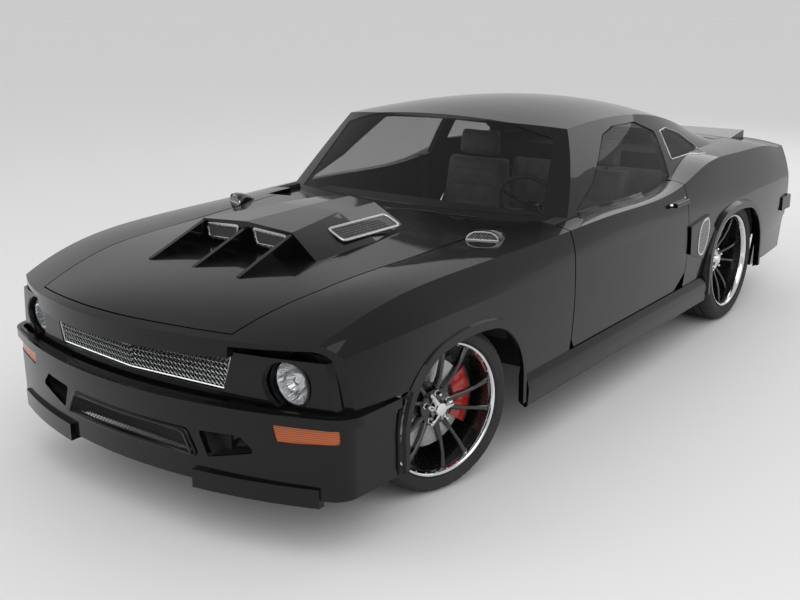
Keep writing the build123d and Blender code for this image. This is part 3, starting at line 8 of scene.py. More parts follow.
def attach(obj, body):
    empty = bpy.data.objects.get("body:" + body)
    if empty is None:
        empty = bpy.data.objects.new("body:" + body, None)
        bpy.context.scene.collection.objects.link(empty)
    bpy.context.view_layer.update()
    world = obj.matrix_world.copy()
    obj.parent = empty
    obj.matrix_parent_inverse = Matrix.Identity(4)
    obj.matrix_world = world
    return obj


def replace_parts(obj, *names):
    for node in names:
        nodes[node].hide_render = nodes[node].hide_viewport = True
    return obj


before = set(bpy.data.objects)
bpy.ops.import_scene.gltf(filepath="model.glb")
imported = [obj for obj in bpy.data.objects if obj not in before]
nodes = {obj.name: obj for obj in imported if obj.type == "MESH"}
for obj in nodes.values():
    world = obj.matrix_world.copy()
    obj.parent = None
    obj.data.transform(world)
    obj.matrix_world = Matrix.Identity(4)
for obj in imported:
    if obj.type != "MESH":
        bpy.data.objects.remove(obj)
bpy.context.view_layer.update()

# Shared sizes, in metres. The car faces -Y, its left side is +X. AXLE_F is the front axle's Y.
AXLE_F = -1.453
AXLE = {"front": AXLE_F, "rear": AXLE_F + 2.743}
TYRE_R = {"front": 0.330, "rear": 0.342}
TYRE_W = {"front": 0.235, "rear": 0.275}
RIM_FACE_X = {"front": 0.828, "rear": 0.884}
HUB_DISH = {"front": 0.042, "rear": 0.092}
RIM_R = 0.262
BEAD_R = 0.252
KINGPIN_X = 0.665
PARKED_TURN = math.radians(-15.4)
SIDES = (("left", 1), ("right", -1))


# Materials
def material(name, color, rough=0.5, metal=0.0, coat=0.0, sheen=0.0):
    mat = bpy.data.materials.new(name)
    mat.use_nodes = True
    shader = mat.node_tree.nodes["Principled BSDF"]
    shader.inputs["Base Color"].default_value = (*color, 1)
    shader.inputs["Roughness"].default_value = rough
    shader.inputs["Metallic"].default_value = metal
    shader.inputs["Coat Weight"].default_value = coat
    shader.inputs["Coat Roughness"].default_value = 0.03
    shader.inputs["Sheen Weight"].default_value = sheen
    return mat


def noise(mat, scale, detail=4.0, rough=0.5):
    tree = mat.node_tree
    where = tree.nodes.new("ShaderNodeTexCoord")
    grain = tree.nodes.new("ShaderNodeTexNoise")
    grain.inputs["Scale"].default_value = scale
    grain.inputs["Detail"].default_value = detail
    grain.inputs["Roughness"].default_value = rough
    tree.links.new(where.outputs["Object"], grain.inputs["Vector"])
    return grain


def bump(mat, source, strength, distance=0.001):
    tree = mat.node_tree
    node = tree.nodes.new("ShaderNodeBump")
    node.inputs["Strength"].default_value = strength
    node.inputs["Distance"].default_value = distance
    tree.links.new(source, node.inputs["Height"])
    tree.links.new(node.outputs["Normal"], tree.nodes["Principled BSDF"].inputs["Normal"])


def vary(mat, source, socket, low, high):
    """Map a 0 to 1 texture onto a shader input: two numbers or two colours."""
    tree = mat.node_tree
    shader = tree.nodes["Principled BSDF"]
    if isinstance(low, tuple):
        ramp = tree.nodes.new("ShaderNodeValToRGB")
        ramp.color_ramp.elements[0].position = 0.3
        ramp.color_ramp.elements[1].position = 0.7
        ramp.color_ramp.elements[0].color = (*low, 1)
        ramp.color_ramp.elements[1].color = (*high, 1)
        tree.links.new(source, ramp.inputs["Fac"])
        tree.links.new(ramp.outputs["Color"], shader.inputs[socket])
        return
    spread = tree.nodes.new("ShaderNodeMapRange")
    spread.inputs["From Min"].default_value = 0.3
    spread.inputs["From Max"].default_value = 0.7
    spread.inputs["To Min"].default_value = low
    spread.inputs["To Max"].default_value = high
    tree.links.new(source, spread.inputs["Value"])
    tree.links.new(spread.outputs["Result"], shader.inputs[socket])


def make_paint(name="black_paint", polish=0.02):
    """Deep gloss black: a nearly dead base under a clear coat with a faint wave in it."""
    mat = material(name, (0.003, 0.003, 0.0034), rough=0.3, coat=0.8)
    shader = mat.node_tree.nodes["Principled BSDF"]
    shader.inputs["Specular IOR Level"].default_value = 0.04
    shader.inputs["Coat IOR"].default_value = 1.38
    flake = noise(mat, 900.0, 2.0)
    vary(mat, flake.outputs["Fac"], "Base Color", (0.002, 0.002, 0.0025), (0.005, 0.005, 0.006))
    haze = noise(mat, 3.0, 6.0)
    vary(mat, haze.outputs["Fac"], "Coat Roughness", polish, polish + 0.02)
    return mat


def make_trim():
    return make_paint("gloss_black_trim", 0.04)


def make_satin():
    mat = material("satin_black", (0.012, 0.012, 0.012), rough=0.5)
    grain = noise(mat, 260.0, 4.0)
    bump(mat, grain.outputs["Fac"], 0.12)
    vary(mat, grain.outputs["Fac"], "Roughness", 0.42, 0.58)
    return mat


def make_underbody():
    mat = material("underbody_black", (0.01, 0.01, 0.01), rough=0.75)
    grain = noise(mat, 90.0, 8.0, 0.7)
    bump(mat, grain.outputs["Fac"], 0.4, 0.002)
    vary(mat, grain.outputs["Fac"], "Base Color", (0.006, 0.006, 0.006), (0.018, 0.017, 0.016))
    return mat


def make_glass(name, tint, rough=0.0, clear=0.55):
    """Thin tinted glass: part clear, part mirror by angle, with no refraction."""
    mat = bpy.data.materials.new(name)
    mat.use_nodes = True
    tree = mat.node_tree
    shader = tree.nodes["Principled BSDF"]
    shader.inputs["Base Color"].default_value = (*tint, 1)
    shader.inputs["Roughness"].default_value = rough
    shader.inputs["Alpha"].default_value = 1 - clear
    shader.inputs["Specular IOR Level"].default_value = 0.6
    streak = noise(mat, 4.0, 3.0)
    vary(mat, streak.outputs["Fac"], "Base Color", tuple(c * 0.7 for c in tint), tint)
    return mat


def make_chrome(name="chrome", color=(0.78, 0.79, 0.8), rough=0.07):
    mat = material(name, color, rough=rough, metal=1.0)
    smear = noise(mat, 30.0, 5.0)
    vary(mat, smear.outputs["Fac"], "Roughness", rough * 0.7, rough * 1.6)
    return mat


def make_brushed(name, color, rough):
    mat = material(name, color, rough=rough, metal=1.0)
    smear = noise(mat, 160.0, 6.0)
    bump(mat, smear.outputs["Fac"], 0.15)
    vary(mat, smear.outputs["Fac"], "Roughness", rough * 0.8, rough * 1.25)
    return mat


def ribs(mat):
    """Lens ribs: fine level bands as a bump, with a faint shift of colour."""
    tree = mat.node_tree
    where = tree.nodes.new("ShaderNodeTexCoord")
    wave = tree.nodes.new("ShaderNodeTexWave")
    wave.bands_direction = "Z"
    wave.inputs["Scale"].default_value = 42.0
    tree.links.new(where.outputs["Object"], wave.inputs["Vector"])
    bump(mat, wave.outputs["Fac"], 0.6, 0.002)
    red, green, blue = tuple(mat.node_tree.nodes["Principled BSDF"].inputs["Base Color"].default_value)[:3]
    vary(mat, wave.outputs["Fac"], "Base Color", (red * 0.6, green * 0.5, blue), (red, green, blue))


def make_rubber():
    mat = material("tyre_rubber", (0.014, 0.014, 0.014), rough=0.72)
    grain = noise(mat, 420.0, 6.0, 0.6)
    bump(mat, grain.outputs["Fac"], 0.25)
    dust = noise(mat, 7.0, 4.0)
    vary(mat, dust.outputs["Fac"], "Base Color", (0.011, 0.011, 0.011), (0.022, 0.021, 0.02))
    return mat


def make_leather(name, dark, light):
    mat = material(name, light, rough=0.5, sheen=0.15)
    tree = mat.node_tree
    where = tree.nodes.new("ShaderNodeTexCoord")
    cells = tree.nodes.new("ShaderNodeTexVoronoi")
    cells.inputs["Scale"].default_value = 340.0
    tree.links.new(where.outputs["Object"], cells.inputs["Vector"])
    bump(mat, cells.outputs["Distance"], 0.35, 0.0008)
    patch = noise(mat, 14.0, 5.0)
    vary(mat, patch.outputs["Fac"], "Base Color", dark, light)
    return mat


def make_plastic():
    mat = material("cabin_plastic", (0.016, 0.016, 0.017), rough=0.55)
    grain = noise(mat, 700.0, 3.0)
    bump(mat, grain.outputs["Fac"], 0.3, 0.0006)
    vary(mat, grain.outputs["Fac"], "Roughness", 0.48, 0.62)
    return mat


def make_disc():
    """Turned brake disc: fine rings round the hub come from the mesh; here only the metal's grain."""
    return make_brushed("disc_steel", (0.42, 0.42, 0.43), 0.28)


PAINT = make_paint()
TRIM = make_trim()
SATIN = make_satin()
UNDER = make_underbody()
CHROME = make_chrome()
SILVER = make_brushed("silver_frame", (0.62, 0.63, 0.64), 0.24)
WIRE = make_brushed("silver_wire", (0.55, 0.56, 0.57), 0.3)
GREY_WIRE = make_brushed("grey_wire", (0.14, 0.14, 0.142), 0.35)
DARK_WIRE = make_brushed("dark_wire", (0.05, 0.05, 0.051), 0.4)
STEEL = make_brushed("chassis_steel", (0.08, 0.08, 0.082), 0.45)
IRON = make_brushed("engine_iron", (0.12, 0.12, 0.12), 0.6)
PIPE = make_brushed("exhaust_steel", (0.4, 0.39, 0.37), 0.35)
DISC = make_disc()
RUBBER = make_rubber()
SEAT = make_leather("seat_leather", (0.12, 0.115, 0.11), (0.2, 0.195, 0.185))
WRAP = make_leather("wheel_leather", (0.02, 0.02, 0.02), (0.032, 0.031, 0.03))
PLASTIC = make_plastic()
RED = material("caliper_red", (0.42, 0.012, 0.01), rough=0.3, coat=0.8)
red_grain = noise(RED, 120.0, 5.0)
vary(RED, red_grain.outputs["Fac"], "Roughness", 0.24, 0.4)
TINT = make_glass("tinted_glass", (0.004, 0.005, 0.005), 0.0, 0.72)
CLEAR = make_glass("clear_lens", (0.5, 0.52, 0.54), 0.0, 0.86)
AMBER = material("amber_lens", (0.46, 0.095, 0.002), rough=0.2, coat=0.5)
ribs(AMBER)
REDLENS = material("red_lens", (0.17, 0.003, 0.003), rough=0.2, coat=0.5)
ribs(REDLENS)
BULB = make_chrome("lamp_reflector", (0.85, 0.86, 0.88), 0.12)
BLACK_WHEEL = material("wheel_black", (0.006, 0.006, 0.0065), rough=0.25, coat=0.7)
wheel_grain = noise(BLACK_WHEEL, 80.0, 4.0)
vary(BLACK_WHEEL, wheel_grain.outputs["Fac"], "Roughness", 0.18, 0.32)

# The finish of each CAD node that stays
FINISH = {
    PAINT: [
        "front_fenders", "nose_panel", "roof_shell", "quarter_panels", "hood", "boot_lid",
        "door_left", "door_right",
    ],
    TRIM: [
        "front_fascia", "front_bumper", "rear_bumper", "sill_skirts", "cowl_panel",
        "headlamp_panel", "tail_panel",
    ],
    TINT: ["windshield", "rear_glass", "quarter_glass", "door_glass_left", "door_glass_right"],
    AMBER: ["turn_lamps"],
    REDLENS: ["tail_lamps"],
    UNDER: ["unibody"],
    STEEL: ["front_suspension", "rear_axle", "fuel_tank", "knuckle_left", "knuckle_right"],
    IRON: ["engine_block"],
    PIPE: ["exhaust"],
    PLASTIC: ["dashboard", "steering_column"],
}
for finish, names in FINISH.items():
    for name in names:
        mesh = nodes[name].data
        mesh.materials.clear()
        mesh.materials.append(finish)
        for polygon in mesh.polygons:
            polygon.material_index = 0


# Mesh helpers
def add_mesh(name, verts, faces, mat, body, smooth=True, place=None, slot=None):
    """A mesh piece from points and faces that rides on a body."""
    mesh = bpy.data.meshes.new(name)
    mesh.from_pydata([tuple(v) for v in verts], [], faces)
    work = bmesh.new()
    work.from_mesh(mesh)
    bmesh.ops.remove_doubles(work, verts=work.verts, dist=0.00005)
    bmesh.ops.recalc_face_normals(work, faces=work.faces)
    work.to_mesh(mesh)
    work.free()
    if place is not None:
        mesh.transform(place)
        if place.determinant() < 0:
            mesh.flip_normals()
    piece = bpy.data.objects.new(name, mesh)
    bpy.context.scene.collection.objects.link(piece)
    mesh.materials.append(mat)
    if smooth:
        mesh.shade_smooth()
        mesh.set_sharp_from_angle(angle=math.radians(34))
    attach(piece, body)
    return piece


def bands(rings, count, wrap_rings=False, wrap_count=True):
    """Faces between neighbouring rings that have count points each."""
    faces = []
    for ring in range(rings if wrap_rings else rings - 1):
        after = (ring + 1) % rings
        for i in range(count if wrap_count else count - 1):
            j = (i + 1) % count
            faces.append((ring * count + i, ring * count + j, after * count + j, after * count + i))
    return faces


class Shape:
    """Collects points and faces of one piece before it becomes a mesh."""

    def __init__(self):
        self.verts = []
        self.faces = []

    def add(self, verts, faces, place=None):
        start = len(self.verts)
        self.verts += [tuple(place @ Vector(v)) if place is not None else tuple(v) for v in verts]
        self.faces += [tuple(start + i for i in face) for face in faces]

    def box(self, low, high, place=None, bevel=0.0):
        """Block with chamfered edges."""
        work = bmesh.new()
        bmesh.ops.create_cube(work, size=1.0)
        for vert in work.verts:
            for axis in range(3):
                middle, span = (low[axis] + high[axis]) / 2, high[axis] - low[axis]
                vert.co[axis] = middle + vert.co[axis] * span
        if bevel:
            bmesh.ops.bevel(work, geom=work.edges[:], offset=bevel, segments=2, affect="EDGES", profile=0.6)
        self.take(work, place)

    def take(self, work, place=None):
        work.verts.index_update()
        self.add([v.co.copy() for v in work.verts], [[v.index for v in f.verts] for f in work.faces], place)
        work.free()

    def lathe(self, profile, steps, place=None, closed=False):
        """Turn a profile of (along, radius) about the X axis."""
        verts = []
        for step in range(steps):
            angle = 2 * math.pi * step / steps
            for along, radius in profile:
                verts.append((along, radius * math.cos(angle), radius * math.sin(angle)))
        self.add(verts, bands(steps, len(profile), True, closed), place)

    def tube(self, path, radius, sides=8, place=None, closed=False):
        """Round bar along a list of points."""
        points = [Vector(p) for p in path]
        verts = []
        count = len(points)
        for i, point in enumerate(points):
            before = points[i - 1] if i or closed else point
            after = points[(i + 1) % count] if i < count - 1 or closed else point
            along = (after - before).normalized()
            across = along.cross(Vector((0, 0, 1)))
            if across.length < 0.05:
                across = along.cross(Vector((1, 0, 0)))
            across.normalize()
            lift = across.cross(along)
            for k in range(sides):
                turn = 2 * math.pi * k / sides
                verts.append(point + radius * (across * math.cos(turn) + lift * math.sin(turn)))
        faces = bands(count, sides, closed)
        if not closed:
            faces.append(tuple(range(sides)))
            faces.append(tuple((count - 1) * sides + k for k in reversed(range(sides))))
        self.add(verts, faces, place)

    def dome(self, centre, normal, radius, height, steps=8):
        """Small round head, such as a rivet's."""
        turn = Vector((0, 0, 1)).rotation_difference(Vector(normal)).to_matrix().to_4x4()
        place = Matrix.Translation(Vector(centre)) @ turn
        verts = []
        rings = ((1.0, 0.0), (0.85, 0.6), (0.45, 0.92))
        for share, lift in rings:
            for k in range(steps):
                angle = 2 * math.pi * k / steps
                flat = radius * share
                verts.append((flat * math.cos(angle), flat * math.sin(angle), height * lift))
        verts.append((0, 0, height))
        faces = bands(len(rings), steps)
        last = (len(rings) - 1) * steps
        for k in range(steps):
            faces.append((last + k, last + (k + 1) % steps, len(verts) - 1))
        self.add(verts, faces, place)

    def piece(self, name, mat, body, **options):
        return add_mesh(name, self.verts, self.faces, mat, body, **options)


# Flat outlines: rounded polygons in a plane, and what fills and frames them
def rounded(points, radius, steps=5):
    """A polygon's outline with its corners rounded."""
    outline = []
    count = len(points)
    for i, corner in enumerate(points):
        corner = Vector(corner)
        a = Vector(points[i - 1]) - corner
        b = Vector(points[(i + 1) % count]) - corner
        reach = min(radius, a.length * 0.45, b.length * 0.45)
        start, end = corner + a.normalized() * reach, corner + b.normalized() * reach
        for step in range(steps + 1):
            t = step / steps
            outline.append((1 - t) ** 2 * start + 2 * t * (1 - t) * corner + t * t * end)
    return outline


def signed_area(outline):
    return sum(a.x * b.y - b.x * a.y for a, b in zip(outline, outline[1:] + outline[:1])) / 2


def inset(outline, amount):
    """A convex outline drawn in by amount."""
    turn = 1 if signed_area(outline) > 0 else -1
    drawn = []
    for i, point in enumerate(outline):
        along = (outline[(i + 1) % len(outline)] - outline[i - 1]).normalized()
        drawn.append(point + Vector((-along.y, along.x)) * amount * turn)
    return drawn


def trim_ring(shape, outline, width, height, place, start=0.0):
    """Raised frame along a convex outline, with eased edges."""
    profile = ((0.0, 0.0), (0.0, 0.7), (0.15, 1.0), (0.85, 1.0), (1.0, 0.7), (1.0, 0.0))
    verts = []
    for share, rise in profile:
        verts += [(p.x, p.y, height * rise) for p in inset(outline, start + width * share)]
    shape.add(verts, bands(len(profile), len(outline), True), place)


def rivets(shape, outline, inward, spacing, radius, place, lift):
    """Round heads at even spacing along an outline."""
    line = inset(outline, inward)
    travelled, due = 0.0, spacing / 2
    for a, b in zip(line, line[1:] + line[:1]):
        length = (b - a).length
        while due <= travelled + length:
            spot = a.lerp(b, (due - travelled) / length)
            centre = place @ Vector((spot.x, spot.y, lift))
            normal = (place.to_3x3() @ Vector((0, 0, 1))).normalized()
            shape.dome(centre, normal, radius, radius * 0.6, 8)
            due += spacing
        travelled += length


def clipped(outline, start, direction):
    """The stretch of a line inside a convex outline."""
    low, high = -9.0, 9.0
    turn = 1 if signed_area(outline) > 0 else -1
    for a, b in zip(outline, outline[1:] + outline[:1]):
        edge = b - a
        normal = Vector((-edge.y, edge.x)) * turn
        speed, gap = normal.dot(direction), normal.dot(start - a)
        if abs(speed) < 1e-12:
            if gap < 0:
                return None
        elif speed > 0:
            low = max(low, -gap / speed)
        else:
            high = min(high, -gap / speed)
    return (low, high) if high - low > 0.002 else None


def weave(shape, outline, pitch, wire, place, angles=(45, -45)):
    """Woven wire in a convex outline: two families that pass over and under each other."""
    outline = inset(outline, wire)
    xs, ys = [p.x for p in outline], [p.y for p in outline]
    centre = Vector(((min(xs) + max(xs)) / 2, (min(ys) + max(ys)) / 2))
    reach = math.hypot(max(xs) - min(xs), max(ys) - min(ys)) / 2
    count = int(reach / pitch) + 1
    for family, degrees in enumerate(angles):
        direction = Vector((math.cos(math.radians(degrees)), math.sin(math.radians(degrees))))
        across = Vector((-direction.y, direction.x))
        for n in range(-count, count + 1):
            start = centre + across * (n * pitch)
            span = clipped(outline, start, direction)
            if span is None:
                continue
            steps = max(2, int((span[1] - span[0]) / (pitch / 2)) + 1)
            path = []
            for k in range(steps + 1):
                t = span[0] + (span[1] - span[0]) * k / steps
                wave = math.cos(math.pi * (t / pitch + n + family)) * wire * 0.9
                spot = start + direction * t
                path.append((spot.x, spot.y, wave + wire))
            shape.tube(path, wire, 4, place)


def plane_at(origin, across, normal):
    """Matrix of a plane: X along across, Z along normal."""
    z = Vector(normal).normalized()
    x = Vector(across).normalized()
    x = (x - z * x.dot(z)).normalized()
    y = z.cross(x)
    turn = Matrix((x, y, z)).transposed().to_4x4()
    return Matrix.Translation(Vector(origin)) @ turn


def skin(names, start, way):
    """Where a ray first meets some CAD nodes."""
    nearest = None
    for name in names:
        hit, where, normal, index = nodes[name].ray_cast(Vector(start), Vector(way))
        if hit and (nearest is None or (where - Vector(start)).length < (nearest - Vector(start)).length):
            nearest = where
    return nearest


def painted_shade_plate(shape, outline, place, lift):
    """Flat plate that fills an outline behind a mesh, as painted shade for the dark opening behind it."""
    shape.add([(p.x, p.y, lift) for p in outline], [tuple(range(len(outline)))], place)


def walked(points, steps):
    """Evenly spaced pairs along the sides of a closed outline."""
    pairs = []
    for (a0, b0), (a1, b1) in zip(points, points[1:] + points[:1]):
        pairs += [(a0 + (a1 - a0) * k / steps, b0 + (b1 - b0) * k / steps) for k in range(steps)]
    return pairs


MIRROR = Matrix.Scale(-1, 4, Vector((1, 0, 0)))
FLIPS = (("left", Matrix.Identity(4)), ("right", MIRROR))
WIRE_LIFT = Matrix.Translation((0, 0, 0.001))

# Where rays onto the skin start, and which way they go
ABOVE_Z, BESIDE_X = 1.3, 1.2
DOWN, INWARD = (0, 0, -1), (-1, 0, 0)

# Grille: woven wire in two wings that meet on the centre line, with a riveted frame over both
GRILLE_AT, GRILLE_SWEEP = 0.812, 0.09
GRILLE = plane_at((0, AXLE_F - GRILLE_AT, 0), (1, GRILLE_SWEEP, 0), (GRILLE_SWEEP, -1, 0))
wing_outline = [Vector(p) for p in ((0.0, 0.558), (0.432, 0.558), (0.469, 0.688), (0.0, 0.688))]
grille_wire = Shape()
for label, flip in FLIPS:
    weave(grille_wire, wing_outline, 0.0135, 0.0016, flip @ GRILLE @ WIRE_LIFT)
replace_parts(grille_wire.piece("grille_wire", WIRE, "root", smooth=False), "grilles")


def grille_point(x, z, lift):
    """A point ahead of the grille's swept face."""
    return Vector((x, AXLE_F - GRILLE_AT + GRILLE_SWEEP * abs(x) - lift, z))


FRAME_EDGE = [
    (-0.4325, 0.561), (0.0, 0.561), (0.4325, 0.561), (0.4685, 0.685), (0.0, 0.685), (-0.4685, 0.685),
]
frame_path = [grille_point(x, z, 0.005) for x, z in walked(FRAME_EDGE, 8)]
grille_frame = Shape()
grille_frame.tube(frame_path, 0.0042, 6, closed=True)
for spot in frame_path[::2]:
    grille_frame.dome(spot + Vector((0, -0.0038, 0)), (0, -1, 0), 0.0028, 0.0018)
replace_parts(grille_frame.piece("grille_frame", SILVER, "root"), "grilles")

# Radiator core behind the grille: a dark block with level fins
FIN_COUNT, FIN_PITCH, FIN_T = 84, 0.0049, 0.0012
radiator = Shape()
radiator.box((-0.43, AXLE_F - 0.745, 0.270), (0.43, AXLE_F - 0.735, 0.695), None, 0.002)
for n in range(FIN_COUNT):
    low = 0.275 + n * FIN_PITCH
    radiator.box((-0.425, AXLE_F - 0.748, low), (0.425, AXLE_F - 0.744, low + FIN_T))
radiator.piece("radiator_core", SATIN, "root")

# Lower opening: dark mesh, and a lip that follows the fascia's curve
LOWER_AT, LOWER_MIDDLE_Z = 0.858, 0.3615
lower = plane_at((0, AXLE_F - LOWER_AT, 0), (1, 0, 0), (0, -1, 0))
lower_outline = rounded([(-0.341, 0.321), (0.341, 0.321), (0.299, 0.402), (-0.299, 0.402)], 0.016)
lower_mesh = Shape()
weave(lower_mesh, lower_outline, 0.012, 0.0015, lower)
trim_ring(lower_mesh, lower_outline, 0.008, 0.007, lower)
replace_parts(lower_mesh.piece("lower_mesh", DARK_WIRE, "root", smooth=False), "grilles")
FASCIA_AT, FASCIA_HALF, FASCIA_SAG = 0.872, 0.880, 0.182
fascia_r = (FASCIA_HALF ** 2 + FASCIA_SAG ** 2) / (2 * FASCIA_SAG)


def fascia_y(x):
    """The fascia's face in plan at a distance from the centre line."""
    return AXLE_F - FASCIA_AT + fascia_r - math.sqrt(fascia_r ** 2 - x * x)


lip_path = []
for x, z in walked(lower_outline, 4):
    lip_path.append((x * 1.012, fascia_y(x) - 0.002, LOWER_MIDDLE_Z + (z - LOWER_MIDDLE_Z) * 1.05))
lower_lip = Shape()
lower_lip.tube(lip_path, 0.007, 10, closed=True)
lower_lip.piece("lower_opening_lip", TRIM, "root")

# Dark liners in the fascia's ducts: loops of (depth, share of the outline)
DUCT_CENTRE = Vector((0.455, 0.378))
DUCT_LOOPS = ((0.003, 1.0), (0.024, 1.0), (0.075, 0.82), (0.078, 0.0))
duct_outline = rounded([(0.356, 0.412), (0.520, 0.420), (0.578, 0.366), (0.392, 0.320)], 0.010, 3)
for label, side in SIDES:
    verts = []
    for deep, share in DUCT_LOOPS:
        for p in duct_outline:
            q = DUCT_CENTRE + (p - DUCT_CENTRE) * share
            verts.append((side * q.x, fascia_y(p.x) + deep, q.y))
    liner = Shape()
    liner.add(verts, bands(len(DUCT_LOOPS), len(duct_outline)))
    liner.piece(f"duct_liner_{label}", SATIN, "root")

# Side scoops: silver mesh on the floor of each pocket
SCOOP_OUT = 0.905
POCKET_MESH = [
    (2.168, 0.508), (2.196, 0.520), (2.196, 0.640), (2.168, 0.655), (2.120, 0.640), (2.120, 0.525),
]
side_outline = rounded([(y + AXLE_F, z) for y, z in POCKET_MESH], 0.02)
for label, flip in FLIPS:
    side_plane = flip @ plane_at((SCOOP_OUT - 0.004, 0, 0), (0, 1, 0), (1, 0, 0))
    scoop_mesh = Shape()
    weave(scoop_mesh, side_outline, 0.011, 0.0014, side_plane)
    trim_ring(scoop_mesh, side_outline, 0.008, 0.006, side_plane, -0.004)
    rivets(scoop_mesh, side_outline, 0.0, 0.026, 0.0026, side_plane, 0.0058)
    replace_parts(scoop_mesh.piece(f"side_scoop_mesh_{label}", SILVER, "root"), "grilles")

# Hood vents: mouths under the scoop's front edge, and grilles on its slanted sides
MOUTH = plane_at((0, AXLE_F - 0.2123, 0), (1, 0, 0), (0, -1, 0))
mouth_outline = rounded([(0.052, 0.893), (0.214, 0.890), (0.222, 0.955), (0.034, 0.966)], 0.022)
VENT = plane_at((0.285, AXLE_F + 0.170, 0.9235), (0, -1, 0), (0.4273, 0.012, 0.9041))
vent_outline = rounded([(-0.19, -0.05), (0.19, -0.05), (0.19, 0.05), (-0.19, 0.05)], 0.03)
for label, flip in FLIPS:
    vents, wires, shade_plates = Shape(), Shape(), Shape()
    # A dark satin plate behind each mouth's mesh is painted shade: it stands in for the shaded opening of the
    # scoop.
    painted_shade_plate(shade_plates, mouth_outline, flip @ MOUTH, 0.001)
    weave(wires, mouth_outline, 0.009, 0.0012, flip @ MOUTH @ WIRE_LIFT)
    trim_ring(vents, mouth_outline, 0.013, 0.006, flip @ MOUTH)
    rivets(vents, mouth_outline, 0.0065, 0.030, 0.003, flip @ MOUTH, 0.0056)
    weave(wires, vent_outline, 0.0095, 0.0013, flip @ VENT @ WIRE_LIFT)
    trim_ring(vents, vent_outline, 0.012, 0.007, flip @ VENT)
    rivets(vents, vent_outline, 0.0055, 0.032, 0.003, flip @ VENT, 0.0068)
    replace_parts(vents.piece(f"hood_vent_{label}", SILVER, "hood"), "hood_vents")
    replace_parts(wires.piece(f"hood_vent_wire_{label}", GREY_WIRE, "hood", smooth=False), "hood_vents")
    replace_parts(shade_plates.piece(f"hood_vent_shade_plate_{label}", SATIN, "hood", smooth=False), "hood_vents")

# Headlamps: bright ribbed bowl, bulb shield, ring and clear domed lens, as (along, radius) from the rim
LAMP = Vector((0.667, AXLE_F - 0.690, 0.606))
LAMP_TURN = Matrix(((0, 1, 0), (-1, 0, 0), (0, 0, 1))).to_4x4()
LENS_R, LENS_RISE, BOWL_RIBS = 0.0785, 0.008, 24
BOWL = [
    (-0.062, 0.0), (-0.060, 0.030), (-0.046, 0.052), (-0.022, 0.070), (0.0, 0.0765), (-0.002, 0.0785),
    (-0.03, 0.074), (-0.064, 0.03), (-0.066, 0.0),
]
BULB_SHIELD = [(-0.03, 0.0), (-0.03, 0.012), (-0.012, 0.015), (-0.010, 0.012), (-0.008, 0.0)]
LAMP_RING = [(-0.006, 0.0775), (0.002, 0.0775), (0.005, 0.0790), (0.003, 0.0812), (-0.006, 0.0815)]
LENS_BACK = [(-0.003, LENS_R), (-0.003, 0.06), (0.0005, 0.03), (0.003, 0.0)]
LENS_FRONT = [
    (LENS_RISE * (1 - (r / LENS_R) ** 2), r) for r in (0.0, 0.016, 0.032, 0.048, 0.062, 0.072, LENS_R)
]
for label, side in SIDES:
    place = Matrix.Translation((side * LAMP.x, LAMP.y, LAMP.z)) @ LAMP_TURN
    bowl, lens, ring = Shape(), Shape(), Shape()
    bowl.lathe(BOWL, 48, place)
    bowl.lathe(BULB_SHIELD, 24, place)
    bowl.tube([(-0.055, 0.0, 0.0), (-0.02, 0.0, 0.0)], 0.006, 10, place)
    for k in range(BOWL_RIBS):
        angle = 2 * math.pi * k / BOWL_RIBS
        radial = Vector((0, math.cos(angle), math.sin(angle)))
        rib = [Vector((-0.052, 0, 0)) + radial * 0.042, Vector((-0.008, 0, 0)) + radial * 0.072]
        bowl.tube(rib, 0.0016, 4, place)
    lens.lathe(LENS_FRONT + LENS_BACK, 56, place)
    ring.lathe(LAMP_RING, 64, place, closed=True)
    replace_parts(lens.piece(f"headlamp_lens_{label}", CLEAR, "root"), "headlamps")
    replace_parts(bowl.piece(f"headlamp_bowl_{label}", BULB, "root"), "headlamps")
    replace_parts(ring.piece(f"headlamp_ring_{label}", TRIM, "root"), "headlamps")


# Wheels and tyres, on the left wheel's own axis with X outward from the lip's face
GROOVES, GROOVE_DEEP = 4, 0.007
TYRE_STEPS, SIPE_EVERY, SIPE_DEEP = 216, 6, 0.004
SPOKES, SPOKE_FOOT = 10, 0.066
SPOKE_PAIR = math.radians(4.5)
LIP_BOLTS, LUGS, WINGS = 30, 5, 3
HUB_T, DISC_SET, DISC_T = 0.044, 0.016, 0.028


def wheel_place(end, side):
    place = Matrix.Translation((RIM_FACE_X[end], AXLE[end], TYRE_R[end]))
    if side < 0:
        place = MIRROR @ place
    if end == "front":
        pivot = Matrix.Translation((side * KINGPIN_X, AXLE_F, 0))
        place = pivot @ Matrix.Rotation(PARKED_TURN, 4, "Z") @ pivot.inverted() @ place
    return place


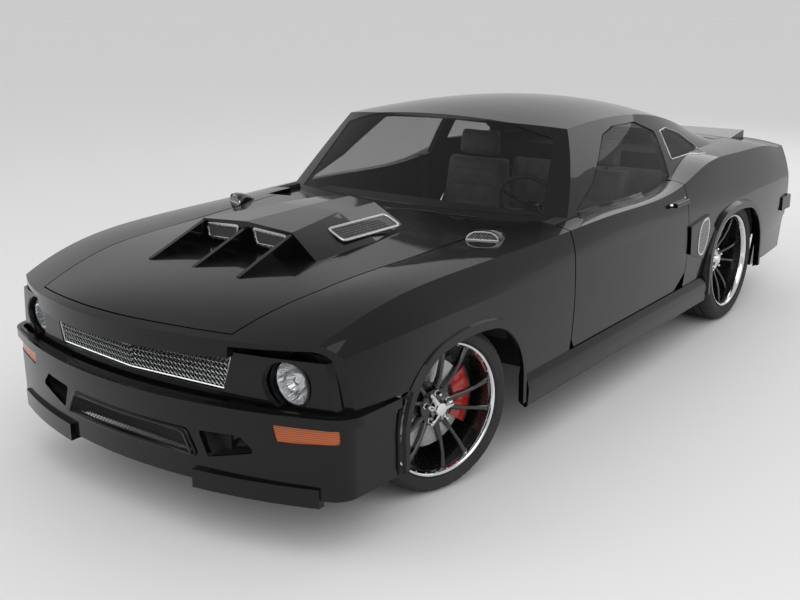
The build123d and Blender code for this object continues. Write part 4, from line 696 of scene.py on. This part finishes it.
def tyre_shape(end):
    """Low-profile tyre with four grooves, shoulder blocks and a rim-guard rib."""
    width, tread = TYRE_W[end], TYRE_R[end]
    middle = (RIM_R + tread) / 2
    inner = -width + 0.027
    # Outer bead, rim guard and sidewall
    profile = [
        (-0.0093, BEAD_R + 0.0003), (-0.0093, RIM_R + 0.002), (-0.002, RIM_R + 0.006),
        (0.003, RIM_R + 0.011), (0.0045, RIM_R + 0.0135), (0.0035, RIM_R + 0.017),
        (0.0062, middle - 0.004), (0.0068, middle), (0.0055, middle + 0.010),
        (0.0025, tread - 0.022), (-0.003, tread - 0.0155), (-0.006, tread - 0.0125),
    ]
    shoulders = [len(profile) + k for k in range(3)]
    profile += [(-0.012, tread - 0.0055), (-0.019, tread - 0.0018), (-0.027, tread)]
    # Tread
    low_x, high_x = -width + 0.045, -0.032
    for g in range(GROOVES):
        at = high_x + (low_x - high_x) * (g + 0.5) / GROOVES
        profile += [(at + 0.0055, tread), (at + 0.004, tread - GROOVE_DEEP)]
        profile += [(at - 0.004, tread - GROOVE_DEEP), (at - 0.0055, tread)]
    # Inner sidewall and bead
    shoulders += [len(profile) + k for k in range(3)]
    profile += [
        (-width + 0.043, tread), (-width + 0.035, tread - 0.0018), (-width + 0.029, tread - 0.0055),
        (-width + 0.024, tread - 0.0125), (-width + 0.014, tread - 0.03), (-width + 0.0105, middle),
        (inner - 0.004, RIM_R + 0.008), (inner + 0.0003, RIM_R + 0.004), (inner + 0.0003, BEAD_R + 0.0003),
    ]
    verts = []
    for step in range(TYRE_STEPS):
        angle = 2 * math.pi * step / TYRE_STEPS
        sipe = step % SIPE_EVERY == 0
        for i, (along, radius) in enumerate(profile):
            if sipe and i in shoulders:
                radius -= SIPE_DEEP
            verts.append((along, radius * math.cos(angle), radius * math.sin(angle)))
    return verts, bands(TYRE_STEPS, len(profile), True)


def spoke_shape(end):
    """One slim twin-edged spoke, tapering from hub to rim, as a bevelled loft."""
    dish = HUB_DISH[end]
    rim_x = -0.020 if end == "front" else -0.046
    shares = (0.0, 0.12, 0.35, 0.65, 0.9, 1.0)
    verts = []
    for share in shares:
        radius = SPOKE_FOOT + share * (BEAD_R - 0.005 - SPOKE_FOOT)
        front = -dish + share * (rim_x + dish) + 0.010 * math.sin(math.pi * share)
        depth = 0.030 - 0.012 * share
        half = 0.0105 - 0.0035 * math.sin(math.pi * min(1, share * 1.1))
        ease = half * 0.45
        ring = [
            (-half, front - ease), (-half + ease, front), (half - ease, front), (half, front - ease),
            (half * 0.8, front - depth), (-half * 0.8, front - depth),
        ]
        verts += [(x, y, radius) for y, x in ring]
    return verts, bands(len(shares), 6)


def wheel_centre(end, place):
    """Black barrel with ten spokes in pairs, and the hub."""
    width, dish = TYRE_W[end] - 0.018, HUB_DISH[end]
    hub_back = -dish - HUB_T
    shape = Shape()
    barrel = [
        (-0.024, 0.2465), (-0.05, 0.2440), (-0.075, 0.2385), (-width + 0.03, 0.2385), (-width, 0.2460),
        (-width, 0.2615), (-width + 0.009, 0.2615), (-width + 0.009, 0.2515), (-0.024, 0.2515),
    ]
    shape.lathe(barrel, 120, place, closed=True)
    for n in range(SPOKES):
        pair = SPOKE_PAIR * (1 if n % 2 else -1)
        turn = Matrix.Rotation(2 * math.pi * n / SPOKES + pair, 4, "X")
        shape.add(*spoke_shape(end), place @ turn)
    hub = [
        (-dish + 0.002, 0.0), (-dish + 0.002, 0.060), (-dish - 0.003, 0.072), (-dish - 0.012, 0.0775),
        (hub_back, 0.0775), (hub_back, 0.0),
    ]
    shape.lathe(hub, 64, place)
    return shape


def wheel_lip(place):
    """Polished lip with a ring of small bolts."""
    shape = Shape()
    profile = [
        (-0.024, 0.2470), (-0.016, 0.2490), (-0.006, 0.2520), (-0.0015, 0.2560), (0.0, 0.2595),
        (-0.001, 0.2618), (-0.0085, 0.2618), (-0.0085, 0.2520), (-0.024, 0.2516),
    ]
    shape.lathe(profile, 144, place, closed=True)
    for n in range(LIP_BOLTS):
        turn = Matrix.Rotation(2 * math.pi * (n + 0.5) / LIP_BOLTS, 4, "X")
        normal = (place.to_3x3() @ turn.to_3x3() @ Vector((1, 0, -0.35))).normalized()
        shape.dome(place @ turn @ Vector((-0.0105, 0, 0.2505)), normal, 0.0028, 0.0024, 6)
    return shape


def spinner(end, place):
    """Lug nuts and a three-winged spinner on a round cap."""
    dish = HUB_DISH[end]
    shape = Shape()
    nut = [
        (-dish, 0.0125), (-dish + 0.003, 0.0125), (-dish + 0.004, 0.0100), (-dish + 0.022, 0.0085),
        (-dish + 0.0258, 0.0055), (-dish + 0.026, 0.0),
    ]
    for n in range(LUGS):
        angle = 2 * math.pi * n / LUGS
        shape.lathe(nut, 6, place @ Matrix.Rotation(angle, 4, "X") @ Matrix.Translation((0, 0, 0.057)))
    cap_top = -dish + 0.034
    cap = [
        (-dish, 0.038), (-dish + 0.006, 0.0365), (-dish + 0.012, 0.031), (cap_top - 0.008, 0.027),
        (cap_top - 0.002, 0.0235), (cap_top, 0.014), (cap_top, 0.0),
    ]
    shape.lathe(cap, 48, place)
    # Stations of a wing: reach from the axis, half width, thickness
    stations = (
        (0.020, 0.0125, 0.010), (0.036, 0.0105, 0.009), (0.055, 0.0085, 0.007), (0.068, 0.0070, 0.0055),
        (0.0735, 0.0035, 0.004),
    )
    verts = []
    for reach, half, thick in stations:
        base = cap_top - 0.012 - (reach - 0.02) * 0.16
        verts += [
            (base, -half, reach), (base + thick, -half * 0.5, reach), (base + thick, half * 0.5, reach),
            (base, half, reach), (base - thick * 0.4, 0, reach),
        ]
    faces = bands(len(stations), 5)
    faces += [(4, 3, 2, 1, 0), tuple(len(verts) - 5 + k for k in range(5))]
    for n in range(WINGS):
        shape.add(verts, faces, place @ Matrix.Rotation(2 * math.pi * n / WINGS + math.radians(30), 4, "X"))
    return shape


def brake_disc(end, place):
    """Disc with its hat, turned rings and slots."""
    hub_back = -HUB_DISH[end] - HUB_T
    disc_out = hub_back - DISC_SET
    disc_in = disc_out - DISC_T
    rings = [(disc_out, 0.080)]
    for k in range(12):
        rings += [(disc_out - 0.0004 * (k % 2), 0.090 + k * 0.0072)]
    rings += [
        (disc_out, 0.1775), (disc_out - 0.009, 0.178), (disc_out - 0.010, 0.172), (disc_out - 0.018, 0.172),
        (disc_out - 0.019, 0.178), (disc_in, 0.1775), (disc_in, 0.052), (disc_out - 0.010, 0.052),
    ]
    shape = Shape()
    shape.lathe(rings, 96, place)
    hat = [(disc_out - 0.010, 0.050), (disc_out + 0.004, 0.064), (hub_back, 0.064), (hub_back, 0.04)]
    shape.lathe(hat, 48, place)
    for n in range(20):
        turn = place @ Matrix.Rotation(2 * math.pi * n / 20, 4, "X")
        shape.box((disc_out - 0.001, -0.0016, 0.110), (disc_out + 0.0004, 0.0016, 0.165), turn)
    return shape


def build_wheel(end, label, side):
    place = wheel_place(end, side)
    wheel = f"wheel_{end}_{label}"
    verts, faces = tyre_shape(end)
    tyre = add_mesh(f"tyre_tread_{end}_{label}", verts, faces, RUBBER, wheel, place=place)
    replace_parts(tyre, f"tyre_{end}_{label}")
    for part, shape, finish in (
        ("wheel_centre", wheel_centre(end, place), BLACK_WHEEL),
        ("wheel_lip", wheel_lip(place), CHROME),
        ("wheel_spinner", spinner(end, place), CHROME),
        ("brake_disc", brake_disc(end, place), DISC),
    ):
        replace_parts(shape.piece(f"{part}_{end}_{label}", finish, wheel), wheel)


for end in ("front", "rear"):
    for label, side in SIDES:
        build_wheel(end, label, side)


# Red calipers fitted over the CAD calipers
CALIPER_HALF_T, PAD_GAP = 0.021, 0.0045
CALIPER_R = (0.1175, 0.190, 0.2060)
PISTON_DEGREES = (-27, -9, 9, 27)


def caliper(end, label, side, body):
    """Two bowed halves on either side of the disc, with piston covers."""
    place = wheel_place(end, side)
    toward = 1 if end == "front" else -1
    disc_in = -HUB_DISH[end] - HUB_T - DISC_SET - DISC_T
    low, high = disc_in - CALIPER_HALF_T, disc_in + DISC_T + CALIPER_HALF_T
    steps = 14
    foot, shoulder, crown = CALIPER_R
    shape = Shape()
    for x0, x1 in ((low, disc_in - PAD_GAP), (disc_in + DISC_T + PAD_GAP, high)):
        ease = (x1 - x0) * 0.25
        section = [(foot, x0), (foot, x1), (shoulder, x1), (crown, x1 - ease)]
        section += [(crown, x0 + ease), (shoulder, x0)]
        verts = []
        for k in range(steps + 1):
            angle = math.radians(-34.5 + 69 * k / steps)
            for radius, x in section:
                verts.append((x, toward * radius * math.cos(angle), radius * math.sin(angle)))
        faces = bands(steps + 1, 6)
        faces += [tuple(range(6)), tuple(steps * 6 + k for k in reversed(range(6)))]
        shape.add(verts, faces, place)
    out = (place.to_3x3() @ Vector((1, 0, 0))).normalized()
    for degrees in PISTON_DEGREES:
        angle = math.radians(degrees)
        centre = Vector((0, toward * 0.155 * math.cos(angle), 0.155 * math.sin(angle)))
        shape.dome(place @ (centre + Vector((high, 0, 0))), out, 0.017, 0.003, 20)
    shape.piece(f"caliper_{end}_{label}", RED, body, slot="caliper_red")


for label, side in SIDES:
    caliper("front", label, side, f"knuckle_{label}")
    caliper("rear", label, side, "root")

# Seats: cushion and back as padded pieces with sewn channels, inflated by a cloth run
def seat_block(name, outline, y0, x0, x1):
    """Side outline of (y from y0, z) as a closed rounded block."""
    verts = [(x0, y0 + y, z) for y, z in outline] + [(x1, y0 + y, z) for y, z in outline]
    count = len(outline)
    faces = [tuple(reversed(range(count))), tuple(count + k for k in range(count))]
    faces += [(k, (k + 1) % count, count + (k + 1) % count, count + k) for k in range(count)]
    mesh = bpy.data.meshes.new(name)
    mesh.from_pydata(verts, [], faces)
    work = bmesh.new()
    work.from_mesh(mesh)
    bmesh.ops.recalc_face_normals(work, faces=work.faces)
    bmesh.ops.bevel(work, geom=work.edges[:], offset=0.024, segments=3, affect="EDGES", profile=0.6)
    work.to_mesh(mesh)
    work.free()
    piece = bpy.data.objects.new(name, mesh)
    bpy.context.scene.collection.objects.link(piece)
    return piece


def puffed(piece, pressure=3.0, cap=0.012, voxel=0.013):
    """Remesh a pad, let a short cloth run fill it out, and cap how far it may move."""
    bpy.context.view_layer.objects.active = piece
    remesh = piece.modifiers.new("remesh", "REMESH")
    remesh.mode = "VOXEL"
    remesh.voxel_size = voxel
    bpy.context.view_layer.update()
    baked = bpy.data.meshes.new_from_object(piece.evaluated_get(bpy.context.evaluated_depsgraph_get()))
    piece.modifiers.clear()
    piece.data = baked
    start = [v.co.copy() for v in baked.vertices]
    cloth = piece.modifiers.new("cloth", "CLOTH")
    cloth.settings.use_pressure = True
    cloth.settings.uniform_pressure_force = pressure
    cloth.settings.effector_weights.gravity = 0
    cloth.settings.quality = 4
    for step in range(1, 16):
        bpy.context.scene.frame_set(step)
    swollen = bpy.data.meshes.new_from_object(piece.evaluated_get(bpy.context.evaluated_depsgraph_get()))
    piece.modifiers.clear()
    piece.data = swollen
    bpy.context.scene.frame_set(1)
    for vert, before in zip(swollen.vertices, start):
        move = vert.co - before
        if move.length > cap:
            vert.co = before + move.normalized() * cap
    return piece


def channels(piece, axis, spacing, depth, keep):
    """Sewn channels: press narrow valleys into the faces that keep accepts."""
    mesh = piece.data
    normals = [v.normal.copy() for v in mesh.vertices]
    for vert, normal in zip(mesh.vertices, normals):
        if not keep(vert.co, normal):
            continue
        offset = (vert.co[axis] / spacing) % 1.0
        near = abs(offset - 0.5) * 2
        vert.co -= normal * depth * (near ** 6)


def finish_seat(piece, node):
    piece.data.materials.clear()
    piece.data.materials.append(SEAT)
    piece.data.shade_smooth()
    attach(piece, "root")
    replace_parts(piece, node)


SEAT_X, SEAT_FLOOR, CHANNEL_HALF = 0.372, 0.2743, 0.125
FRONT_SEAT_Y, REAR_SEAT_Y = AXLE_F + 1.450, AXLE_F + 2.284
CUSHION = [(0.012, 0.40), (0.006, 0.482), (0.03, 0.506), (0.44, 0.478), (0.47, 0.40)]
BACK = [(0.462, 0.42), (0.466, 0.52), (0.556, 0.90), (0.566, 0.925), (0.635, 0.925), (0.634, 0.42)]
HEADREST = [(0.570, 0.935), (0.590, 1.055), (0.612, 1.075), (0.640, 1.068), (0.640, 0.935)]
BENCH = [(0.014, 0.470), (0.010, 0.530), (0.03, 0.546), (0.30, 0.522), (0.33, 0.470)]
BENCH_BACK = [(0.325, 0.475), (0.335, 0.56), (0.412, 0.822), (0.442, 0.838), (0.442, 0.475)]
BENCH_HALF, BENCH_MIDDLE = 0.545, 0.09
for label, side in SIDES:
    centre = side * SEAT_X
    y0 = FRONT_SEAT_Y
    cushion = seat_block(f"seat_cushion_{label}", CUSHION, y0, centre - 0.195, centre + 0.195)
    puffed(cushion, 3.0, 0.010)
    channels(cushion, 1, 0.085, 0.008, lambda co, n, c=centre: n.z > 0.7 and abs(co.x - c) < CHANNEL_HALF)
    finish_seat(cushion, "front_seats")
    back = seat_block(f"seat_back_{label}", BACK, y0, centre - 0.198, centre + 0.198)
    puffed(back, 3.0, 0.010)
    channels(back, 2, 0.085, 0.008, lambda co, n, c=centre: n.y < -0.6 and abs(co.x - c) < CHANNEL_HALF)
    finish_seat(back, "front_seats")
    rest = seat_block(f"seat_headrest_{label}", HEADREST, y0, centre - 0.125, centre + 0.125)
    puffed(rest, 3.0, 0.006)
    finish_seat(rest, "front_seats")
    base = Shape()
    low, foot = SEAT_FLOOR, SEAT_FLOOR + 0.018
    base.box((centre - 0.19, y0 + 0.02, low), (centre + 0.19, y0 + 0.60, foot), None, 0.004)
    base.box((centre - 0.185, y0 + 0.03, low + 0.016), (centre + 0.185, y0 + 0.62, 0.405), None, 0.02)
    for post in (-0.05, 0.05):
        base.tube([(centre + post, y0 + 0.612, 0.91), (centre + post, y0 + 0.615, 0.95)], 0.006, 10)
    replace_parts(base.piece(f"seat_base_{label}", PLASTIC, "root"), "front_seats")

rear_cushion = seat_block("rear_seat_cushion", BENCH, REAR_SEAT_Y, -BENCH_HALF, BENCH_HALF)
puffed(rear_cushion, 3.0, 0.008, 0.016)
channels(rear_cushion, 0, 0.11, 0.010, lambda co, n: n.z > 0.7 and abs(co.x) > BENCH_MIDDLE)
finish_seat(rear_cushion, "rear_seat")
rear_back = seat_block("rear_seat_back", BENCH_BACK, REAR_SEAT_Y, -BENCH_HALF, BENCH_HALF)
puffed(rear_back, 3.0, 0.008, 0.016)
channels(rear_back, 0, 0.11, 0.010, lambda co, n: n.y < -0.6 and abs(co.x) > BENCH_MIDDLE)
finish_seat(rear_back, "rear_seat")

# Steering wheel: thin leather rim, three drilled spokes and a round horn pad
WHEEL_AT = Vector((0.372, AXLE_F + 1.372, 0.812))
WHEEL_TILT = math.radians(22)
GRIP_R, GRIP_STEPS, GRIP_SIDES, GRIP_KNOBS = 0.180, 64, 12, 24
HORN_PAD = [(-0.012, 0.0), (-0.012, 0.040), (0.008, 0.040), (0.013, 0.034), (0.015, 0.015), (0.0155, 0.0)]
HOLE_RIM = [(0.0028, 0.0048), (0.0034, 0.0062), (-0.0034, 0.0062), (-0.0028, 0.0048)]
steer = plane_at(WHEEL_AT, (1, 0, 0), Vector((0, math.cos(WHEEL_TILT), math.sin(WHEEL_TILT))))
verts = []
for k in range(GRIP_STEPS):
    around = 2 * math.pi * k / GRIP_STEPS
    swell = 0.0115 + 0.0012 * (math.cos(around * GRIP_KNOBS) > 0)
    for m in range(GRIP_SIDES):
        turn = 2 * math.pi * m / GRIP_SIDES
        radius = GRIP_R + swell * math.cos(turn)
        verts.append((radius * math.cos(around), radius * math.sin(around), swell * math.sin(turn)))
rim = Shape()
rim.add(verts, bands(GRIP_STEPS, GRIP_SIDES, True), steer)
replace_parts(rim.piece("steering_rim", WRAP, "steering_wheel"), "steering_wheel")
spokes = Shape()
for degrees in (90, 210, 330):
    turn = steer @ Matrix.Rotation(math.radians(degrees), 4, "Z")
    spokes.box((0.03, -0.011, -0.0025), (0.172, 0.011, 0.0025), turn, 0.0015)
    for reach in (0.07, 0.10, 0.13):
        hole = turn @ Matrix.Translation((reach, 0, 0)) @ Matrix.Rotation(math.radians(90), 4, "Y")
        spokes.lathe(HOLE_RIM, 16, hole)
spokes.lathe(HORN_PAD, 40, steer @ Matrix.Rotation(math.radians(-90), 4, "Y"))
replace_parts(spokes.piece("steering_spokes", SILVER, "steering_wheel"), "steering_wheel")

# Wipers: post, arm and a slim blade with its rubber
WIPER_Z, POST_Z = 0.8885, 0.8725
WIPER_ENDS = (((0.050, 0.682), (0.460, 0.738)), ((-0.440, 0.734), (-0.030, 0.680)))
WIPER_POST = [(0.0005, 0.0), (0.0005, 0.0075), (0.014, 0.0075), (0.017, 0.0045), (0.0175, 0.0)]
for index, ((x0, y0), (x1, y1)) in enumerate(WIPER_ENDS):
    wiper = Shape()
    a = Vector((x0, AXLE_F + y0 + 0.004, WIPER_Z))
    b = Vector((x1, AXLE_F + y1 + 0.004, WIPER_Z))
    post = Matrix.Translation((a.x + 0.002, a.y, POST_Z)) @ Matrix.Rotation(math.radians(-90), 4, "Y")
    wiper.lathe(WIPER_POST, 20, post)
    heel, middle, drop = a.lerp(b, 0.04), a.lerp(b, 0.5), Vector((0, 0.002, -0.003))
    arm = [a + Vector((0, 0, 0.002)), a.lerp(b, 0.25) + Vector((0, 0, 0.006)), middle + Vector((0, 0, 0.004))]
    wiper.tube(arm, 0.0032, 8)
    wiper.tube([heel, middle, b], 0.0024, 6)
    wiper.tube([heel + drop, b + drop], 0.0018, 4)
    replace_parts(wiper.piece(f"wiper_{index + 1}", SATIN, "root", slot="wiper_black"), "wipers")


# Door handles, window trims and the vents in the fender tops, seated on the CAD skin by ray
def side_path(points, names, out, steps=6):
    """A closed line on the car's left side through points given as (y from the front axle, z)."""
    path = []
    for y, z in walked(points, steps):
        spot = skin(names, (BESIDE_X, AXLE_F + y, z), INWARD)
        if spot is not None:
            path.append(spot + Vector((out, 0, 0)))
    return path


QUARTER_EDGE = [(2.184, 0.980), (2.184, 1.124), (2.300, 1.127), (2.484, 1.081), (2.668, 0.983), (2.560, 0.969)]
quarter_line = side_path(QUARTER_EDGE, ["roof_shell", "quarter_panels"], 0.001)
for label, flip in FLIPS:
    trim = Shape()
    trim.tube(quarter_line, 0.0035, 8, flip, closed=True)
    trim.piece(f"quarter_window_trim_{label}", SILVER, "root")

HANDLE_Z, HANDLE_FRONT, HANDLE_REAR = 0.813, AXLE_F + 1.815, AXLE_F + 1.985
LOCK_FACE = [(0.0, 0.014), (0.004, 0.014), (0.006, 0.011), (0.0065, 0.0)]
door_x = skin(["door_left"], (BESIDE_X, AXLE_F + 1.93, 0.84), INWARD).x
handle_bow = (
    (-0.004, HANDLE_FRONT), (0.014, HANDLE_FRONT + 0.014), (0.019, HANDLE_FRONT + 0.05),
    (0.019, HANDLE_REAR - 0.05), (0.014, HANDLE_REAR - 0.016), (-0.004, HANDLE_REAR),
)
for label, flip in FLIPS:
    handle = Shape()
    handle.tube([(door_x + out, y, HANDLE_Z) for out, y in handle_bow], 0.0075, 10, flip)
    handle.lathe(LOCK_FACE, 20, flip @ Matrix.Translation((door_x - 0.001, HANDLE_REAR + 0.028, HANDLE_Z)))
    handle.piece(f"door_handle_{label}", CHROME, f"door_{label}")

# Vents in the fender tops by the cowl: a low black cowl over a riveted mesh that faces forward and out
VENT_ENDS = ((0.632, AXLE_F + 0.376), (0.760, AXLE_F + 0.440))
VENT_RISE, VENT_LONG, VENT_T, VENT_COLUMNS = 0.042, 0.135, 0.0025, 13
# Rows of the cowl: share of its length, of its rise and of its width
VENT_ROWS = (
    (0.0, 1.0, 1.0), (0.15, 1.04, 0.99), (0.4, 0.88, 0.9), (0.65, 0.58, 0.72), (0.85, 0.24, 0.5),
    (1.0, 0.0, 0.3),
)
BOW_STATIONS = (-1, -0.95, -0.8, -0.5, 0, 0.5, 0.8, 0.95, 1)
vent_a, vent_b = [skin(["front_fenders"], (x, y, ABOVE_Z), DOWN) for x, y in VENT_ENDS]
vent_middle = (vent_a + vent_b) / 2
vent_half = (vent_b - vent_a).length / 2
vent_out = (vent_b - vent_a).cross(Vector((0, 0, 1))).normalized()
VENT_FACE = plane_at(vent_middle, vent_b - vent_a, vent_out + Vector((0, 0, 0.2)))


def bowed(t):
    """Share of the vent's rise across its width, t running from -1 to 1."""
    return (1 - abs(t) ** 3) ** 0.5


def cowl_rows():
    """Points of the cowl's upper face, seated on the skin at its edges."""
    rows = []
    for share, rise, narrow in VENT_ROWS:
        row = []
        for k in range(VENT_COLUMNS):
            t = -1 + 2 * k / (VENT_COLUMNS - 1)
            spot = vent_middle.lerp(vent_b, t * narrow) + Vector((0, VENT_LONG * share, 0))
            ground = skin(["front_fenders", "cowl_panel", "hood"], (spot.x, spot.y, ABOVE_Z), DOWN) or spot
            row.append(Vector((spot.x, spot.y, ground.z - 0.001 + VENT_RISE * rise * bowed(t))))
        rows.append(row)
    return rows


rows = cowl_rows()
under = [[p - Vector((0, 0, VENT_T)) for p in row] for row in rows]
long, wide = len(rows), VENT_COLUMNS
cowl_faces = []
for r in range(long - 1):
    for k in range(wide - 1):
        top, low = r * wide + k, (r + long) * wide + k
        cowl_faces += [(top, top + 1, top + wide + 1, top + wide), (low, low + wide, low + wide + 1, low + 1)]
cowl_faces += [(k, k + wide * long, k + 1 + wide * long, k + 1) for k in range(wide - 1)]
vent_bow = [Vector((vent_half * 0.95 * t, VENT_RISE * 0.95 * bowed(t))) for t in BOW_STATIONS]
for label, flip in FLIPS:
    cowl = Shape()
    cowl.add([p for row in rows + under for p in row], cowl_faces, flip)
    cowl.piece(f"fender_vent_cowl_{label}", PAINT, "root")
    vent = Shape()
    vent_face = flip @ VENT_FACE @ Matrix.Translation((0, 0, -0.004))
    weave(vent, vent_bow, 0.0085, 0.0012, vent_face)
    trim_ring(vent, vent_bow, 0.007, 0.006, vent_face)
    rivets(vent, vent_bow, 0.0035, 0.022, 0.002, vent_face, 0.0058)
    vent.piece(f"fender_vent_mesh_{label}", SILVER, "root")


# Side scoops: riveted mesh on a dark plate on the face of each scoop; the plate is painted shade for the
# intake behind the mesh
def quarter_skin(y, z):
    return skin(["quarter_panels"], (BESIDE_X, AXLE_F + y, z), INWARD)


FACE_Y, FACE_Z, FACE_REACH = 2.222, 0.585, 0.06
FACE_POINTS = [
    (-0.074, -0.082), (-0.010, -0.105), (0.052, -0.040), (0.072, 0.050), (0.046, 0.100), (-0.044, 0.088),
    (-0.078, 0.010),
]
face_across = quarter_skin(FACE_Y + FACE_REACH, FACE_Z) - quarter_skin(FACE_Y - FACE_REACH, FACE_Z)
face_up = quarter_skin(FACE_Y, FACE_Z + FACE_REACH) - quarter_skin(FACE_Y, FACE_Z - FACE_REACH)
face_at = quarter_skin(FACE_Y, FACE_Z) - Vector((0.0015, 0, 0))
FACE = plane_at(face_at, face_across, face_across.cross(face_up))
face_outline = rounded(FACE_POINTS, 0.04)
count = len(face_outline)
# The dark plate under each scoop's mesh is painted shade, standing in for the shaded intake behind the mesh.
shade_plate_verts = [(p.x, p.y, lift) for lift in (0.0022, -0.004) for p in face_outline]
shade_plate_faces = [tuple(range(count))]
shade_plate_faces += [(k, k + count, (k + 1) % count + count, (k + 1) % count) for k in range(count)]
for label, flip in FLIPS:
    face_shade_plate = Shape()
    face_shade_plate.add(shade_plate_verts, shade_plate_faces, flip @ FACE)
    face_shade_plate.piece(f"scoop_face_shade_{label}", SATIN, "root", smooth=False)
    face_mesh = Shape()
    weave(face_mesh, face_outline, 0.010, 0.0011, flip @ FACE @ Matrix.Translation((0, 0, 0.0018)))
    trim_ring(face_mesh, face_outline, 0.011, 0.0052, flip @ FACE)
    rivets(face_mesh, face_outline, 0.0055, 0.026, 0.0026, flip @ FACE, 0.0045)
    face_mesh.piece(f"scoop_face_mesh_{label}", SILVER, "root")

# Valance under the rear bumper between the quarter panels, as rows of (z, y from the front axle)
VALANCE_ROWS = ((0.486, 3.772), (0.440, 3.776), (0.385, 3.772), (0.340, 3.752), (0.315, 3.715), (0.312, 3.640))
VALANCE_HALF, VALANCE_SWEEP, VALANCE_COLUMNS, VALANCE_T = 0.845, 0.055, 25, 0.003
verts = []
for z, y in VALANCE_ROWS:
    for k in range(VALANCE_COLUMNS):
        t = -1 + 2 * k / (VALANCE_COLUMNS - 1)
        verts.append((VALANCE_HALF * t, AXLE_F + y - VALANCE_SWEEP * t ** 4, z))
valance = Shape()
valance.add(verts, bands(len(VALANCE_ROWS), VALANCE_COLUMNS, wrap_count=False))
thick = valance.piece("rear_valance", TRIM, "root").modifiers.new("thickness", "SOLIDIFY")
thick.thickness = VALANCE_T

# Bright tips on the exhaust pipes
PIPE_X, PIPE_END, PIPE_Z = 0.250, 2.320, 0.2356
TIP = [
    (-0.07, 0.0265), (-0.06, 0.030), (0.028, 0.0335), (0.032, 0.0335), (0.032, 0.0305), (0.002, 0.029),
    (0.001, 0.0),
]
tips = Shape()
for side in (1, -1):
    place = Matrix.Translation((side * PIPE_X, PIPE_END, PIPE_Z)) @ Matrix.Rotation(math.radians(90), 4, "Z")
    tips.lathe(TIP, 40, place)
tips.piece("exhaust_tips", CHROME, "root")

# Floor
FLOOR_HALF = 60
floor_mesh = bpy.data.meshes.new("floor")
corners = [(x * FLOOR_HALF, y * FLOOR_HALF, 0) for x, y in ((-1, -1), (1, -1), (1, 1), (-1, 1))]
floor_mesh.from_pydata(corners, [], [(0, 1, 2, 3)])
floor = bpy.data.objects.new("floor", floor_mesh)
bpy.context.scene.collection.objects.link(floor)
floor_mat = material("floor_pale", (0.78, 0.78, 0.78), rough=0.7)
floor_grain = noise(floor_mat, 3.0, 4.0)
vary(floor_mat, floor_grain.outputs["Fac"], "Roughness", 0.65, 0.75)
floor_mesh.materials.append(floor_mat)

# Studio: the world lights the car a little more than it shows, so that it meets the floor evenly
WORLD_LIT, WORLD_SEEN = 0.78, 0.60
world = bpy.data.worlds.new("studio")
bpy.context.scene.world = world
world.use_nodes = True
sky = world.node_tree
lit = sky.nodes["Background"]
lit.inputs["Color"].default_value = (1, 1, 1, 1)
lit.inputs["Strength"].default_value = WORLD_LIT
seen = sky.nodes.new("ShaderNodeBackground")
seen.inputs["Color"].default_value = (1, 1, 1, 1)
seen.inputs["Strength"].default_value = WORLD_SEEN
rays = sky.nodes.new("ShaderNodeLightPath")
shown = rays.outputs["Is Camera Ray"]
for kind in ("Is Glossy Ray", "Is Transmission Ray"):
    either = sky.nodes.new("ShaderNodeMath")
    either.operation = "MAXIMUM"
    sky.links.new(shown, either.inputs[0])
    sky.links.new(rays.outputs[kind], either.inputs[1])
    shown = either.outputs[0]
mixed = sky.nodes.new("ShaderNodeMixShader")
sky.links.new(shown, mixed.inputs["Fac"])
sky.links.new(lit.outputs["Background"], mixed.inputs[1])
sky.links.new(seen.outputs["Background"], mixed.inputs[2])
sky.links.new(mixed.outputs["Shader"], sky.nodes["World Output"].inputs["Surface"])


def softbox(name, where, toward, size, power):
    light = bpy.data.lights.new(name, "AREA")
    light.shape = "RECTANGLE"
    light.size, light.size_y = size
    light.energy = power
    lamp = bpy.data.objects.new(name, light)
    lamp.location = where
    lamp.rotation_euler = (Vector(toward) - Vector(where)).to_track_quat("-Z", "Y").to_euler()
    bpy.context.scene.collection.objects.link(lamp)


softbox("key", (4.6, -4.2, 6.0), (0, 0, 0.5), (7.0, 7.0), 190)
softbox("fill", (-5.0, -6.4, 3.6), (0, -1.0, 0.5), (6.0, 4.0), 95)
softbox("rear", (1.0, 7.6, 5.0), (0, 0.5, 0.6), (8.0, 4.0), 110)

# Camera, solved from the photo on the wheelbase
CAMERA_AT, CAMERA_LENS = (2.9381, -4.5779, 1.8529), 48.12
yaw, pitch, roll = math.radians(36.934), math.radians(16.278), math.radians(-0.479)
back_way = Vector((math.sin(yaw) * math.cos(pitch), -math.cos(yaw) * math.cos(pitch), math.sin(pitch)))
right_way = Vector((math.cos(yaw), math.sin(yaw), 0))
up_way = back_way.cross(right_way)
right_rolled = right_way * math.cos(roll) + up_way * math.sin(roll)
up_rolled = up_way * math.cos(roll) - right_way * math.sin(roll)
camera_turn = Matrix((right_rolled, up_rolled, back_way)).transposed().to_4x4()
camera_data = bpy.data.cameras.new("camera")
camera_data.sensor_width = 36.0
camera_data.lens = CAMERA_LENS
camera = bpy.data.objects.new("camera", camera_data)
camera.matrix_world = Matrix.Translation(CAMERA_AT) @ camera_turn
bpy.context.scene.collection.objects.link(camera)
bpy.context.scene.camera = camera
bpy.context.scene.view_settings.view_transform = "Standard"
